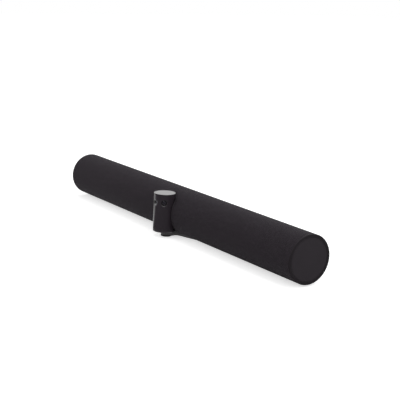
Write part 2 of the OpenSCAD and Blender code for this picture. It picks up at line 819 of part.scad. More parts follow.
module camera_bracket() {
    color(alloy) on_bar() difference() {
        post(0, pod_y, bracket_d / 2, pod_floor, bracket_top);
        post(0, pod_y, bracket_bore_d / 2, pod_floor - cut_over, bracket_top + cut_over);
        translate([0, pod_y, lens_z - bracket_cut_h / 2]) linear_extrude(bracket_cut_h) polygon([
            turned(-lens_angle, bracket_flat, -bracket_d), turned(-lens_angle / 2, bracket_corner, 0),
            turned(lens_angle / 2, bracket_corner, 0), turned(lens_angle, bracket_flat, bracket_d),
            turned(lens_angle, bracket_d, bracket_d), turned(0, bracket_d * 2, bracket_d),
            turned(0, bracket_d * 2, -bracket_d), turned(-lens_angle, bracket_d, -bracket_d)]);
        at_pod_screws() post(0, 0, screw_d / 2 + fit_gap, pod_floor - cut_over,
                             pod_screw_top + fit_gap);
    }
}

module lens_window(angle) {
    color(glass_tint) on_bar() at_lens(angle) translate([0, 0, window_back])
        cylinder(r = window_d / 2, h = window_t);
}

module lens_barrels() {
    color(chip_black) on_bar() for (angle = [-lens_angle, 0, lens_angle]) at_lens(angle)
        translate([0, 0, barrel_front - barrel_len]) difference() {
            cylinder(r = barrel_d / 2, h = barrel_len);
            translate([0, 0, sensor_t]) cylinder(r = glass_d / 2 + fit_gap / 2, h = barrel_len);
        }
}

module lens_glasses() {
    color(glass_tint) on_bar() for (angle = [-lens_angle, 0, lens_angle]) at_lens(angle)
        translate([0, 0, glass_front - glass_t]) cylinder(r = glass_d / 2, h = glass_t);
}

module sensor_boards() {
    color(board_green) on_bar() for (angle = [-lens_angle, 0, lens_angle]) at_lens(angle)
        translate([0, 0, (sensor_front + sensor_back) / 2])
            cube([sensor_half_w * 2, sensor_h, sensor_t], center = true);
}

// Flat cable drawn as its side view, then given its width
module ribbon(points, width) {
    rotate([90, 0, 90]) linear_extrude(width, center = true) polygon(points);
}

module pod_ribbon() {
    y0 = ribbon_back_y;
    y1 = pod_ribbon_end_y;
    color(film_amber) on_bar() ribbon([
        [y0, slit_z], [y1, slit_z], [y1, board_z1], [y1 + ribbon_t, board_z1],
        [y1 + ribbon_t, slit_z + ribbon_t], [y0 + ribbon_t, slit_z + ribbon_t],
        [y0 + ribbon_t, lens_z], [y0, lens_z]], pod_ribbon_w);
}

module screw(z0, z1) {
    post(0, 0, screw_head_d / 2, z0, z0 + screw_head_h);
    post(0, 0, screw_d / 2, z0 + screw_head_h, z1);
}

module pod_screws() {
    color(steel_grey) on_bar() at_pod_screws()
        screw(neck_bottom + fit_gap, pod_screw_top);
}

// Plan of the casting: the arm, its flare and the plate behind
module casting_plan() {
    half = [[neck_r, neck_y], [neck_r, flare_y], [plate_half_w, flare_end_y],
            [plate_half_w, plate_back_y]];
    radii = [0, flare_r, flare_r, hood_corner_r];
    outline = concat(half, [for (i = [3:-1:0]) [-half[i][0], half[i][1]]]);
    polygon(rounded(outline, concat(radii, [for (i = [3:-1:0]) radii[i]])));
}

module base_casting() {
    color(cast_grey) on_bar() difference() {
        union() {
            post(0, neck_y, neck_r, neck_bottom, arm_top);
            difference() {
                translate([0, 0, floor_z0]) linear_extrude(arm_top - floor_z0) casting_plan();
                block(-hood_half_w, hood_half_w, saddle_back_y, rear_reach, floor_z1, 0);
            }
            post(0, tripod_y, tripod_boss_r, floor_z0, floor_z0 + tripod_len + floor_t / 2);
            for (x = [-1, 1], y = [io_y0 + post_r, io_y1 - post_r])
                post(x * (io_half_w - post_r), y, post_r, floor_z1, io_z0);
        }
        rod_x(bar_r + seat_gap, -half_len, half_len);
        post(0, neck_y, neck_r + fit_gap, table_z - cut_over, neck_bottom);
        post(0, neck_y, foot_stem_r + fit_gap, table_z, neck_bottom + foot_stem_h + fit_gap);
        at_pod_screws() {
            post(0, 0, screw_d / 2 + fit_gap, table_z, 0);
            post(0, 0, screw_head_d / 2 + fit_gap, table_z, neck_bottom + screw_head_h + fit_gap);
        }
        post(0, tripod_y, tripod_d / 2 + seat_gap / 2, table_z, floor_z0 + tripod_len);
        for (x = [-1, 1]) post(x * rear_foot_x, rear_foot_y, rear_foot_d / 2 + fit_gap,
                               table_z, floor_z0 + rear_foot_recess);
        at_base_screws() {
            post(0, 0, screw_d / 2 + fit_gap, table_z, 0);
            post(0, 0, screw_head_d / 2 + fit_gap, table_z, floor_z0 + screw_head_h + fit_gap);
        }
        at_housing_screws() {
            post(0, 0, screw_d / 2 + fit_gap, table_z, 0);
            post(0, 0, screw_head_d / 2 + fit_gap, table_z, floor_z0 + screw_head_h + fit_gap);
        }
        at_mount_screws()
            post(0, 0, screw_d / 2 + fit_gap, floor_z1 - floor_t / 2 - fit_gap, floor_z1 + cut_over);
    }
}

module front_foot() {
    color(rubber_black) on_bar() {
        post(0, neck_y, neck_r, table_z, neck_bottom);
        post(0, neck_y, foot_stem_r, table_z, neck_bottom + foot_stem_h);
    }
}

module rear_foot(side) {
    color(rubber_black) on_bar() on_side(side)
        post(rear_foot_x, rear_foot_y, rear_foot_d / 2, table_z, floor_z0 + rear_foot_recess);
}

module tripod_insert() {
    color(brass_yellow) on_bar() difference() {
        post(0, tripod_y, tripod_d / 2, floor_z0, floor_z0 + tripod_len);
        post(0, tripod_y, tripod_thread_d / 2, floor_z0 - cut_over, floor_z0 + tripod_len + cut_over);
    }
}

// Solid form of the rear housing, drawn in by a wall's thickness
module hood_form(inset) {
    drop = inset / cos(hood_slope);
    side_view = [
        [saddle_back_y, floor_z1 - (inset > 0 ? cut_over : 0)],
        [rear_reach - inset, floor_z1 - (inset > 0 ? cut_over : 0)],
        [rear_reach - inset, hood_back_z - drop + inset * tan(hood_slope)],
        [hood_front_y, hood_front_z - drop], [saddle_back_y, hood_front_z - drop]];
    intersection() {
        rotate([90, 0, 90]) linear_extrude((hood_half_w - inset) * 2, center = true)
            polygon(rounded(side_view, [0, 0, hood_top_r - inset, 0, 0]));
        translate([0, 0, floor_z1 - cut_over]) linear_extrude(bar_d) polygon(rounded(
            [[-hood_half_w + inset, 0], [hood_half_w - inset, 0],
             [hood_half_w - inset, rear_reach - inset], [-hood_half_w + inset, rear_reach - inset]],
            [0, 0, hood_corner_r - inset, hood_corner_r - inset]));
    }
}

module at_housing_screws() {
    for (x = [-post_x, post_x], y = [post_y0, post_y1]) translate([x, y, 0]) children();
}

module rear_housing() {
    color(satin_black) on_bar() difference() {
        union() {
            difference() {
                hood_form(0);
                hood_form(hood_wall);
            }
            block(-bay_half_w - bay_wall, bay_half_w + bay_wall, bay_y, wall_y + hood_wall / 2,
                  bay_z0 - bay_wall, bay_z1 + bay_wall);
            at_housing_screws() post(0, 0, post_r, floor_z1, floor_z1 + post_h);
        }
        rod_x(bar_r + seat_gap, -half_len, half_len);
        block(-bay_half_w, bay_half_w, bay_y - cut_over, rear_reach + cut_over, bay_z0, bay_z1);
        block(-mount_window_x, mount_window_x, mount_y0, rear_reach + cut_over,
              mount_z - mount_window_h / 2, mount_z + mount_window_h / 2);
        block(lock_x - cut_over, hood_half_w + cut_over,
              lock_y - lock_slot_len / 2 - port_gap, lock_y + lock_slot_len / 2 + port_gap,
              lock_z - lock_slot_w / 2 - port_gap, lock_z + lock_slot_w / 2 + port_gap);
        for (i = [0:vent_count - 1])
            translate([(i - (vent_count - 1) / 2) * vent_pitch, (hood_front_y + rear_reach) / 2,
                       (hood_front_z + hood_back_z) / 2])
                rotate([-hood_slope, 0, 0])
                    cube([vent_w, vent_len, hood_top_r], center = true);
        at_housing_screws()
            post(0, 0, screw_d / 2 + fit_gap, floor_z1 - cut_over, floor_z1 + post_h / 2);
    }
}

module housing_screws() {
    color(steel_grey) on_bar() {
        at_housing_screws() screw(floor_z0 + fit_gap / 2, floor_z1 + post_h / 2 - fit_gap);
        at_mount_screws() mirror([0, 0, 1])
            screw(-floor_z1 - mount_t - screw_head_h, -floor_z1 + floor_t / 2);
    }
}

module at_mount_screws() {
    for (x = [-mount_screw_x, mount_screw_x])
        translate([x, mount_tab_y + screw_head_d / 2 + fit_gap, 0]) children();
}

module base_screws() {
    color(steel_grey) on_bar() at_base_screws() screw(floor_z0 + fit_gap / 2, rail_z1);
}

module mount_plate() {
    color(steel_grey) on_bar() difference() {
        union() {
            block(-mount_half_w, mount_half_w, mount_y0, wall_y, mount_z0, mount_z1);
            for (x = [-1, 1]) translate([x * mount_spacing / 2, mount_y0, mount_z])
                rotate([90, 0, 0]) cylinder(r = mount_nut_d / 2, h = mount_nut_len);
            both_sides() {
                block(mount_leg_x, mount_half_w, mount_y0, wall_y, floor_z1, mount_z0);
                block(mount_leg_x, mount_tab_x, mount_tab_y, mount_y0, floor_z1,
                      floor_z1 + mount_t);
            }
        }
        at_mount_screws() post(0, 0, screw_d / 2 + fit_gap, floor_z0, floor_z1 + mount_t + cut_over);
        for (x = [-1, 1]) translate([x * mount_spacing / 2, rear_reach, mount_z])
            rotate([90, 0, 0]) cylinder(r = mount_thread_d / 2, h = mount_nut_len * 4);
    }
}

module lock_plate() {
    color(steel_grey) on_bar() difference() {
        block(lock_x - mount_t, lock_x, lock_y - lock_plate_len / 2, lock_y + lock_plate_len / 2,
              lock_z - lock_plate_h / 2, lock_z + lock_plate_h / 2);
        block(lock_x - mount_t - cut_over, lock_x + cut_over,
              lock_y - lock_slot_len / 2, lock_y + lock_slot_len / 2,
              lock_z - lock_slot_w / 2, lock_z + lock_slot_w / 2);
    }
}

// Outline of one socket on the board, grown by a gap for its hole in the panel
module socket_face(x, w, h, gap, y0, y1) {
    block(x - gap, x + w + gap, y0, y1, io_z1 - gap, io_z1 + h + gap);
}

module port_panel() {
    heights = [dc_h, eth_h, video_h, serial_h, serial_h];
    color(steel_grey) on_bar() difference() {
        block(-bay_half_w - panel_margin, bay_half_w + panel_margin, panel_y, bay_y,
              bay_z0 - panel_margin, bay_z1 + panel_margin);
        for (i = [0:4]) socket_face(row_x(i), socket_widths[i], heights[i], port_gap,
                                    panel_y - cut_over, bay_y + cut_over);
        socket_face(reversible_x - reversible_w / 2, reversible_w, reversible_h, port_gap,
                    panel_y - cut_over, bay_y + cut_over);
        at_button(button_near_x)
            cylinder(r = pair_d / 2 + button_gap, h = button_tail * 4, center = true);
        at_button(button_wide_x)
            cylinder(r = reset_d / 2 + button_gap, h = button_tail * 4, center = true);
    }
}

module io_board() {
    color(board_green) on_bar() block(-io_half_w, io_half_w, io_y0, io_y1, io_z0, io_z1);
}

module power_jack() {
    x = row_x(0);
    color(plastic_black) on_bar() {
        difference() {
            block(x, x + dc_w, port_y - jack_depth, port_y, io_z1, io_z1 + dc_h);
            translate([x + dc_w / 2, port_y + cut_over, io_z1 + dc_h / 2])
                rotate([90, 0, 0]) cylinder(r = dc_hole_d / 2, h = jack_depth / 2 + cut_over);
        }
        translate([x + dc_w / 2, port_y - dc_pin_d, io_z1 + dc_h / 2])
            rotate([90, 0, 0]) cylinder(r = dc_pin_d / 2, h = jack_depth / 2);
    }
}

module network_jack() {
    x = row_x(1) + (eth_w - eth_mouth_w) / 2;
    latch_x = row_x(1) + (eth_w - eth_latch_w) / 2;
    mouth_z = io_z1 + eth_latch_h + socket_t * 4;
    color(socket_silver) on_bar() difference() {
        block(row_x(1), row_x(1) + eth_w, port_y - jack_depth, port_y, io_z1, io_z1 + eth_h);
        block(x, x + eth_mouth_w, port_y - jack_depth * 2 / 3, port_y + cut_over,
              mouth_z, mouth_z + eth_mouth_h);
        block(latch_x, latch_x + eth_latch_w, port_y - jack_depth / 2, port_y + cut_over,
              mouth_z - eth_latch_h, mouth_z + eth_latch_h);
    }
}

// Metal shell with a tongue inside
module tongue_socket(x, w, h, depth, tongue_h, tongue_z) {
    difference() {
        block(x, x + w, port_y - depth, port_y, io_z1, io_z1 + h);
        block(x + socket_t, x + w - socket_t, port_y - depth + socket_t * 2, port_y + cut_over,
              io_z1 + socket_t, io_z1 + h - socket_t);
    }
    block(x + socket_t * 4, x + w - socket_t * 4, port_y - depth + socket_t,
          port_y - socket_t * 2, io_z1 + tongue_z, io_z1 + tongue_z + tongue_h);
}

module video_socket() {
    color(socket_silver) on_bar()
        tongue_socket(row_x(2), video_w, video_h, socket_depth, video_h / 4, video_h * 3 / 8);
}

module serial_sockets() {
    color(socket_silver) on_bar() for (i = [3, 4])
        tongue_socket(row_x(i), serial_w, serial_h, socket_depth, serial_h / 4, serial_h * 5 / 8);
}

module reversible_socket() {
    color(socket_silver) on_bar()
        tongue_socket(reversible_x - reversible_w / 2, reversible_w, reversible_h,
                      reversible_depth, reversible_h / 4,
                      reversible_h * 3 / 8);
}

// Local +Z points out of the panel along a button's axis
module at_button(x) {
    translate([x, bay_y, button_z]) rotate([-90, 0, 0]) children();
}

module button(x, d, proud) {
    on_bar() at_button(x) {
        translate([0, 0, -panel_t - button_tail]) cylinder(r = d / 2, h = panel_t + button_tail + proud);
        translate([0, 0, -panel_t - fit_gap - button_flange_w])
            cylinder(r = d / 2 + button_flange_w, h = button_flange_w);
    }
}

module pairing_button() {
    color(plastic_black) button(button_near_x, pair_d, pair_proud);
}

module reset_button() {
    color(plastic_black) button(button_wide_x, reset_d, -reset_sink);
}

module button_switches() {
    z1 = button_z + switch_w / 2;
    y0 = switch_y - switch_t;
    color(chip_black) on_bar() {
        block(button_near_x - switch_w / 2, button_wide_x + switch_w / 2, y0 - riser_t, y0, io_z1, z1);
        for (x = [button_near_x, button_wide_x])
            block(x - switch_w / 2, x + switch_w / 2, y0, switch_y, z1 - switch_w, z1);
    }
}

module io_ribbon() {
    y0 = io_ribbon_y;
    y1 = io_ribbon_end_y;
    color(film_amber) on_bar() ribbon([
        [y0, io_z1], [y0 + ribbon_t, io_z1], [y0 + ribbon_t, ribbon_t], [y1, ribbon_t],
        [y1, board_z1], [y1 + ribbon_t, board_z1], [y1 + ribbon_t, 0], [y0, 0]], io_ribbon_w);
}

module woofer_frame() {
    seat_r = basket_low_r - basket_t * 2;
    difference() {
        rotate_extrude() polygon([
            [basket_in_r, 0], [woofer_r, 0], [woofer_r, -flange_t], [basket_top_r, -flange_t],
            [basket_low_r, -basket_depth], [basket_low_r, plate_z], [magnet_in_r, plate_z],
            [magnet_in_r, -basket_depth], [seat_r, -basket_depth], [seat_r, spider_z - paper_t],
            [basket_low_r - basket_t, spider_z - paper_t], [basket_in_r, -flange_t]]);
        for (a = [45:90:315]) rotate([0, 0, a])
            block(seat_r + basket_t, woofer_r + cut_over, -basket_low_r / 2, basket_low_r / 2,
                  spider_z, -flange_t * 2);
    }
}

module woofer_frames() {
    color(chip_black) on_bar() both_sides() at_speaker(woofer_x) woofer_frame();
}

module woofer_magnets() {
    color(steel_grey) on_bar() both_sides() at_speaker(woofer_x) rotate_extrude() polygon([
        [0, yoke_end], [plate_r, yoke_end], [plate_r, yoke_z], [magnet_r, yoke_z],
        [magnet_r, magnet_z], [plate_r, magnet_z], [plate_r, plate_z], [gap_r, plate_z],
        [gap_r, magnet_z], [magnet_in_r, magnet_z], [magnet_in_r, yoke_z], [pole_r, yoke_z],
        [pole_r, plate_z], [0, plate_z]]);
}

// Thin cap of a given base radius and rise, its rim at height z
module shell_cap(r, rise, z, t) {
    ball_r = (r * r + rise * rise) / (2 * rise);
    reach = asin(r / ball_r);
    translate([0, 0, z + rise - ball_r]) rotate_extrude() polygon(concat(
        arc([0, 0], ball_r, 90, 90 - reach), arc([0, 0], ball_r - t, 90 - reach, 90)));
}

module woofer_cone(side) {
    in_r = coil_r - paper_t;
    lip_z = -fit_gap;
    neck_z = cone_z + paper_t * 2;
    color(paper_black) on_bar() on_side(side) at_speaker(woofer_x) {
        rotate_extrude() polygon([
            [in_r, winding_z0], [coil_r, winding_z0], [coil_r, cone_z],
            [cone_edge_r - cone_lip_w / 2, lip_z - paper_t], [cone_edge_r, lip_z - paper_t],
            [cone_edge_r, lip_z], [cone_edge_r - cone_lip_w, lip_z], [in_r, neck_z]]);
        rotate_extrude() polygon([
            [coil_r - winding_t / 2, winding_z0 + basket_t], [coil_r + winding_t, winding_z0 + basket_t],
            [coil_r + winding_t, winding_z1], [coil_r - winding_t / 2, winding_z1]]);
        shell_cap(cap_r, cap_rise, neck_z + (cap_r - in_r) * cone_rise(), paper_t);
    }
}

// Rise of the cone's front face for each unit of radius
function cone_rise() = (-fit_gap - cone_z - paper_t * 2) / (cone_edge_r - cone_lip_w - coil_r + paper_t);

module woofer_suspension(side) {
    in_r = roll_r - roll_w / 2;
    out_r = roll_r + roll_w / 2;
    wave = (basket_low_r - basket_t * 2 - coil_r) / 3;
    amp = paper_t * 2;
    spider = [for (i = [0:arc_steps * 3]) [
        coil_r + fit_gap + wave * 3 * i / (arc_steps * 3),
        spider_z + paper_t + amp / 2 * sin(360 * 3 * i / (arc_steps * 3))]];
    last = spider[arc_steps * 3];
    color(rubber_black) on_bar() on_side(side) at_speaker(woofer_x) {
        rotate_extrude() polygon(concat(
            [[in_r - cone_lip_w, 0]],
            arc([roll_r, 0], roll_w / 2 - paper_t, 180, 0),
            [[woofer_r - paper_t, 0], [woofer_r - paper_t, paper_t], [out_r, paper_t]],
            arc([roll_r, 0], roll_w / 2, 14, 166),
            [[in_r, paper_t], [in_r - cone_lip_w, paper_t]]));
        rotate_extrude() polygon(concat(
            spider, [[last[0] + basket_t, last[1]], [last[0] + basket_t, last[1] + paper_t]],
            [for (i = [arc_steps * 3:-1:0]) spider[i] + [0, paper_t]]));
    }
}

module tweeter_bodies() {
    pole = dome_r - paper_t - air_gap;
    ring = dome_r + air_gap;
    back = -flange_t - tweeter_depth;
    color(chip_black) on_bar() both_sides() at_speaker(tweeter_x) rotate_extrude() polygon([
        [0, back], [tweeter_motor_r, back], [tweeter_motor_r, -flange_t],
        [tweeter_d / 2, -flange_t], [tweeter_d / 2, 0], [ring, 0], [ring, back + steel_t],
        [pole, back + steel_t], [pole, -flange_t], [0, -flange_t]]);
}

module tweeter_dome(side) {
    color(paper_black) on_bar() on_side(side) at_speaker(tweeter_x) {
        shell_cap(dome_r, dome_h, 0, paper_t);
        difference() {
            post(0, 0, dome_r, -flange_t * 2, 0);
            post(0, 0, dome_r - paper_t, -flange_t * 2 - cut_over, cut_over);
        }
    }
}

// Solid form of a speaker box behind its baffle, drawn in by a wall's thickness
module box_form(inset) {
    intersection() {
        rod_x(box_r - inset, box_start + inset, box_end - inset);
        block(0, half_len, baffle_back - (inset > 0 ? cut_over : 0), bar_r, -bar_r, box_top - inset);
    }
}

module speaker_box(side) {
    color(plastic_black) on_bar() on_side(side) difference() {
        box_form(0);
        box_form(box_wall);
    }
}

module baffles() {
    color(plastic_black) on_bar() both_sides() difference() {
        intersection() {
            rod_x(box_r, box_start, box_end);
            block(0, half_len, baffle_front, baffle_back, -bar_r, bar_r);
        }
        at_speaker(woofer_x) post(0, 0, basket_top_r + box_gap, yoke_end, flange_t);
        at_speaker(tweeter_x) post(0, 0, tweeter_motor_r + box_gap, yoke_end, flange_t);
    }
}

module chassis_rail() {
    color(alloy) on_bar() difference() {
        union() {
            block(-rail_half, rail_half, rail_y0, rail_y1, rail_z0, rail_z1);
            for (y = [rail_y0, rail_y1 - rail_t])
                block(-rail_half, rail_half, y, y + rail_t, rail_z1, rail_z1 + rail_rib_h);
            at_board_screws() post(0, 0, post_r, rail_z1, board_z0);
            intersection() {
                rod_x(tube_in_r - seat_gap, -rail_half, rail_half);
                at_base_screws() post(0, 0, post_r, -bar_r, rail_z0);
            }
        }
        at_base_screws() post(0, 0, screw_d / 2 + fit_gap / 2, -bar_r, rail_z1 + cut_over);
    }
}

module at_board_screws() {
    for (share = standoff_shares, y = [board_y0 + post_r + rail_t, board_y1 - post_r - rail_t])
        translate([share * board_half - sign(share) * post_r, y, 0]) children();
}

module main_board() {
    color(board_green) on_bar()
        block(-board_half, board_half, board_y0, board_y1, board_z0, board_z1);
}

module board_chips() {
    depth = board_y1 - board_y0;
    color(chip_black) on_bar() {
        block(-processor_w / 2, processor_w / 2, board_mid_y - processor_w / 2,
              board_mid_y + processor_w / 2, board_z1, chip_z1);
        for (s = chip_shares) {
            w = s[2] * board_half;
            d = s[3] * depth;
            x = s[0] * board_half - w / 2;
            y = board_y0 + s[1] * depth - d / 2;
            block(x, x + w, y, y + d, board_z1, chip_z1);
        }
    }
}

module heat_sink() {
    y0 = board_mid_y - sink_d / 2;
    y1 = board_mid_y + sink_d / 2;
    step = (sink_w - sink_t) / (fin_count - 1);
    color(alloy) on_bar() {
        block(-sink_w / 2, sink_w / 2, y0, y1, chip_z1, chip_z1 + sink_t);
        for (i = [0:fin_count - 1]) {
            x = -sink_w / 2 + i * step;
            block(x, x + sink_t, y0, y1, chip_z1, chip_z1 + sink_t + fin_h);
        }
    }
}

module antennas() {
    x = board_half - antenna_w;
    color(board_green) on_bar() both_sides()
        block(x, x + antenna_w, board_mid_y, board_mid_y + thin_board_t, board_z1,
              board_z1 + antenna_h);
}

module microphone_boards() {
    color(board_green) on_bar() both_sides() {
        block(mic_first - mic_board_w, mic_end + mic_board_w, -mic_board_w / 2, mic_board_w / 2,
              mic_bottom, mic_top);
        for (i = [0:mic_count - 1]) {
            x = mic_first + i * mic_pitch;
            block(x - mic_board_w / 4, x + mic_board_w / 4, -mic_board_w / 6, mic_board_w / 6,
                  mic_bottom - mic_can_h, mic_bottom);
        }
    }
}

module microphone_gaskets() {
    color(foam_grey) on_bar() both_sides() for (i = [0:mic_count - 1]) difference() {
        post(mic_first + i * mic_pitch, 0, gasket_r, mic_top, gasket_top);
        post(mic_first + i * mic_pitch, 0, mic_hole_d / 2, mic_bottom, bar_r);
    }
}

fabric_sleeve();
perforated_tube();
end_ring(-1);  // end_ring_left
end_ring(1);  // end_ring_right
end_disc(-1);  // end_disc_left
end_disc(1);  // end_disc_right
pod_saddle();
pod_shell();
pod_top_ring();
pod_top_disc();
pod_base_cap();
camera_bracket();
lens_window(-lens_angle);  // lens_window_left
lens_window(0);  // lens_window_centre
lens_window(lens_angle);  // lens_window_right
lens_barrels();
lens_glasses();
sensor_boards();
pod_ribbon();
pod_screws();
base_casting();
front_foot();
rear_foot(-1);  // rear_foot_left
rear_foot(1);  // rear_foot_right
tripod_insert();
rear_housing();
port_panel();
mount_plate();
lock_plate();
io_board();
power_jack();
network_jack();
video_socket();
serial_sockets();
reversible_socket();
pairing_button();
reset_button();
button_switches();
io_ribbon();
woofer_frames();
woofer_magnets();
woofer_cone(-1);  // woofer_cone_left
woofer_cone(1);  // woofer_cone_right
woofer_suspension(-1);  // woofer_suspension_left
woofer_suspension(1);  // woofer_suspension_right
tweeter_bodies();
tweeter_dome(-1);  // tweeter_dome_left
tweeter_dome(1);  // tweeter_dome_right
speaker_box(-1);  // speaker_box_left
speaker_box(1);  // speaker_box_right
baffles();
chassis_rail();
main_board();
board_chips();
heat_sink();
antennas();
microphone_boards();
microphone_gaskets();
base_screws();
housing_screws();
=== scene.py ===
import math

import bmesh
import bpy
import numpy as np
from mathutils import Matrix, Vector


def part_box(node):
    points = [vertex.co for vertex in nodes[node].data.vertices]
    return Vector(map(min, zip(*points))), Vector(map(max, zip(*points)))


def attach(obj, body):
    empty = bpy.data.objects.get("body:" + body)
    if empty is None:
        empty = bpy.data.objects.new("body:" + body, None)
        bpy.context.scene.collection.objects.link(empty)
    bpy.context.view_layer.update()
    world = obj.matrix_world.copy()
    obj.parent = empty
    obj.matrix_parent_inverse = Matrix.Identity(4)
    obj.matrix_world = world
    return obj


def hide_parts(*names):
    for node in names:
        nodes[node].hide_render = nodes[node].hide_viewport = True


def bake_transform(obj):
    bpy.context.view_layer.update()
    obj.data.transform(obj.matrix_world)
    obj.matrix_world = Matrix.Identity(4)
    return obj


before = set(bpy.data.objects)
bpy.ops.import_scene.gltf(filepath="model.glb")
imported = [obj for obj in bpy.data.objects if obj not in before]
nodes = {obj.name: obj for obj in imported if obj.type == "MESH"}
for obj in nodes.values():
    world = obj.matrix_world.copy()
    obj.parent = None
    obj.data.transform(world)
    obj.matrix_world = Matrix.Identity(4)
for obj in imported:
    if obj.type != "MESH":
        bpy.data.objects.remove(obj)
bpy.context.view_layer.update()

# A fabric covered conference bar with an upright camera pod, seen from the front right.
# Sizes are written in millimetres from the bar's own axis, and MM makes them metres.
MM = 0.001
scene = bpy.context.scene

sleeve_low, sleeve_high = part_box("fabric_sleeve")
AXIS = (sleeve_low + sleeve_high) / 2
BAR_R = (sleeve_high.z - sleeve_low.z) / 2 / MM
SLEEVE_END = sleeve_high.x / MM
HALF_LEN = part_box("end_ring_right")[1].x / MM
TABLE = -AXIS.z / MM

shell_low, shell_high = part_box("pod_shell")
POD_R = (shell_high.x - shell_low.x) / 2 / MM
POD_Y = ((shell_low.y + shell_high.y) / 2 - AXIS.y) / MM
POD_Z0 = (shell_low.z - AXIS.z) / MM
POD_Z1 = (shell_high.z - AXIS.z) / MM
POD_TOP = (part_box("pod_top_ring")[1].z - AXIS.z) / MM
POD_UNDER = (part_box("pod_base_cap")[0].z - AXIS.z) / MM
POD_WALL = 2.2

# A lens recess is a cone that narrows from its mouth to its floor, where the window sits on a
# seat inside. Each pair is how far from the lens's axis, and how far out of the pod's axis.
window_low, window_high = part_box("lens_window_centre")
LENS_Z = ((window_low.z + window_high.z) / 2 - AXIS.z) / MM
LENS_TURNS = {"left": -55.0, "centre": 0.0, "right": 55.0}
MOUTH, MOUTH_OUT = 5.5, 18.0
FLOOR, FLOOR_OUT = 3.0, 14.9
SEAT, SEAT_OUT = 3.46, 14.88
BOSS, BOSS_OUT = 5.05, 14.05
LIP = 0.3

# Points nearer than this are one point, in metres: in a copy of a CAD node, and in a new piece.
CAD_MERGE = 2e-6
FINE_MERGE = 2e-7


def placed(x, y, z):
    """A point of the bar, in metres in the shared frame."""
    return Vector((x * MM, y * MM + AXIS.y, z * MM + AXIS.z))


# Small words for node trees

class Value:
    """A number inside a node tree, to be reckoned with like a plain one."""

    def __init__(self, tree, socket):
        self.tree, self.socket = tree, socket

    def _math(self, operation, *others):
        node = self.tree.nodes.new("ShaderNodeMath")
        node.operation = operation
        for slot, item in enumerate((self, *others)):
            feed(self.tree, node.inputs[slot], item)
        return Value(self.tree, node.outputs[0])

    def __add__(self, other): return self._math("ADD", other)
    def __sub__(self, other): return self._math("SUBTRACT", other)
    def __mul__(self, other): return self._math("MULTIPLY", other)
    def __truediv__(self, other): return self._math("DIVIDE", other)
    def __rsub__(self, other): return (self * -1) + other
    def root(self): return self._math("SQRT")
    def least(self, other): return self._math("MINIMUM", other)
    def most(self, other): return self._math("MAXIMUM", other)
    def sine(self): return self._math("SINE")
    def cosine(self): return self._math("COSINE")
    def part(self): return self._math("FRACT")
    def size(self): return self._math("ABSOLUTE")
    def power(self, other): return self._math("POWER", other)


def feed(tree, socket, item):
    """Gives a socket a value: a plain one, another socket's, or that of a node's first output."""
    if isinstance(item, Value):
        item = item.socket
    elif isinstance(item, bpy.types.Node):
        item = item.outputs[0]
    if isinstance(item, bpy.types.NodeSocket):
        tree.links.new(item, socket)
    else:
        socket.default_value = item


def add_node(tree, kind, inputs=None, **settings):
    node = tree.nodes.new(kind)
    for name, value in settings.items():
        setattr(node, name, value)
    for key, item in (inputs or {}).items():
        feed(tree, node.inputs[key], item)
    return node


# Materials

class Finish:
    """A node material whose colour, roughness and relief are built up from patterns."""

    def __init__(self, name, colour, rough, **uniform):
        self.material = bpy.data.materials.new(name)
        self.material.use_nodes = True
        self.material.diffuse_color = (*colour, 1)
        self.tree = self.material.node_tree
        self.tree.nodes.clear()
        self.shader = add_node(self.tree, "ShaderNodeBsdfPrincipled")
        add_node(self.tree, "ShaderNodeOutputMaterial", {"Surface": self.shader})
        self.place = add_node(self.tree, "ShaderNodeTexCoord").outputs["Object"]
        self.colour, self.rough, self.height = colour, rough, None
        for key, value in uniform.items():
            self.shader.inputs[key.replace("_", " ")].default_value = value

    def stretch(self, x, y, z):
        """The place scaled apart along the axes, for streaks."""
        return add_node(self.tree, "ShaderNodeMapping",
                        {"Vector": self.place, "Scale": (x, y, z)}).outputs[0]

    def noise(self, size_mm, detail=3.0, rough=0.55, place=None):
        node = add_node(self.tree, "ShaderNodeTexNoise", {
            "Vector": place or self.place, "Scale": 1 / (size_mm * MM), "Detail": detail,
            "Roughness": rough})
        return Value(self.tree, node.outputs["Fac"])

    def cells(self, size_mm, feature="F1", output="Distance"):
        node = add_node(self.tree, "ShaderNodeTexVoronoi", {
            "Vector": self.place, "Scale": 1 / (size_mm * MM)}, feature=feature)
        return Value(self.tree, node.outputs[output])

    def span(self, value, low, high, to_low=0.0, to_high=1.0):
        """A pattern between two levels, drawn out to two others."""
        node = add_node(self.tree, "ShaderNodeMapRange", {
            "Value": value, "From Min": low, "From Max": high, "To Min": to_low,
            "To Max": to_high}, clamp=True)
        return Value(self.tree, node.outputs[0])

    def tint(self, factor, other):
        """The colour so far, turned to another where the factor is 1."""
        mix = add_node(self.tree, "ShaderNodeMix", {0: factor}, data_type="RGBA")
        for slot, item in ((6, self.colour), (7, other)):
            feed(self.tree, mix.inputs[slot], (*item, 1) if isinstance(item, tuple) else item)
        self.colour = mix.outputs[2]
        return self

    def roughen(self, value, low, high):
        self.rough = self.span(value, 0.25, 0.75, low, high)
        return self

    def relief(self, value, depth_mm):
        rise = value * (depth_mm * MM)
        self.height = rise if self.height is None else self.height + rise
        return self

    def done(self):
        inputs = self.shader.inputs
        uniform = isinstance(self.colour, tuple)
        feed(self.tree, inputs["Base Color"], (*self.colour, 1) if uniform else self.colour)
        feed(self.tree, inputs["Roughness"], self.rough)
        if self.height is not None:
            feed(self.tree, inputs["Normal"], add_node(
                self.tree, "ShaderNodeBump", {"Height": self.height, "Distance": 1.0}))
        return self.material


def shade(red, green, blue):
    """A colour as a screen shows it, from 0 to 255, made linear."""
    return tuple((c / 12.92 if c <= 0.04045 else ((c + 0.055) / 1.055) ** 2.4)
                 for c in (red / 255, green / 255, blue / 255))


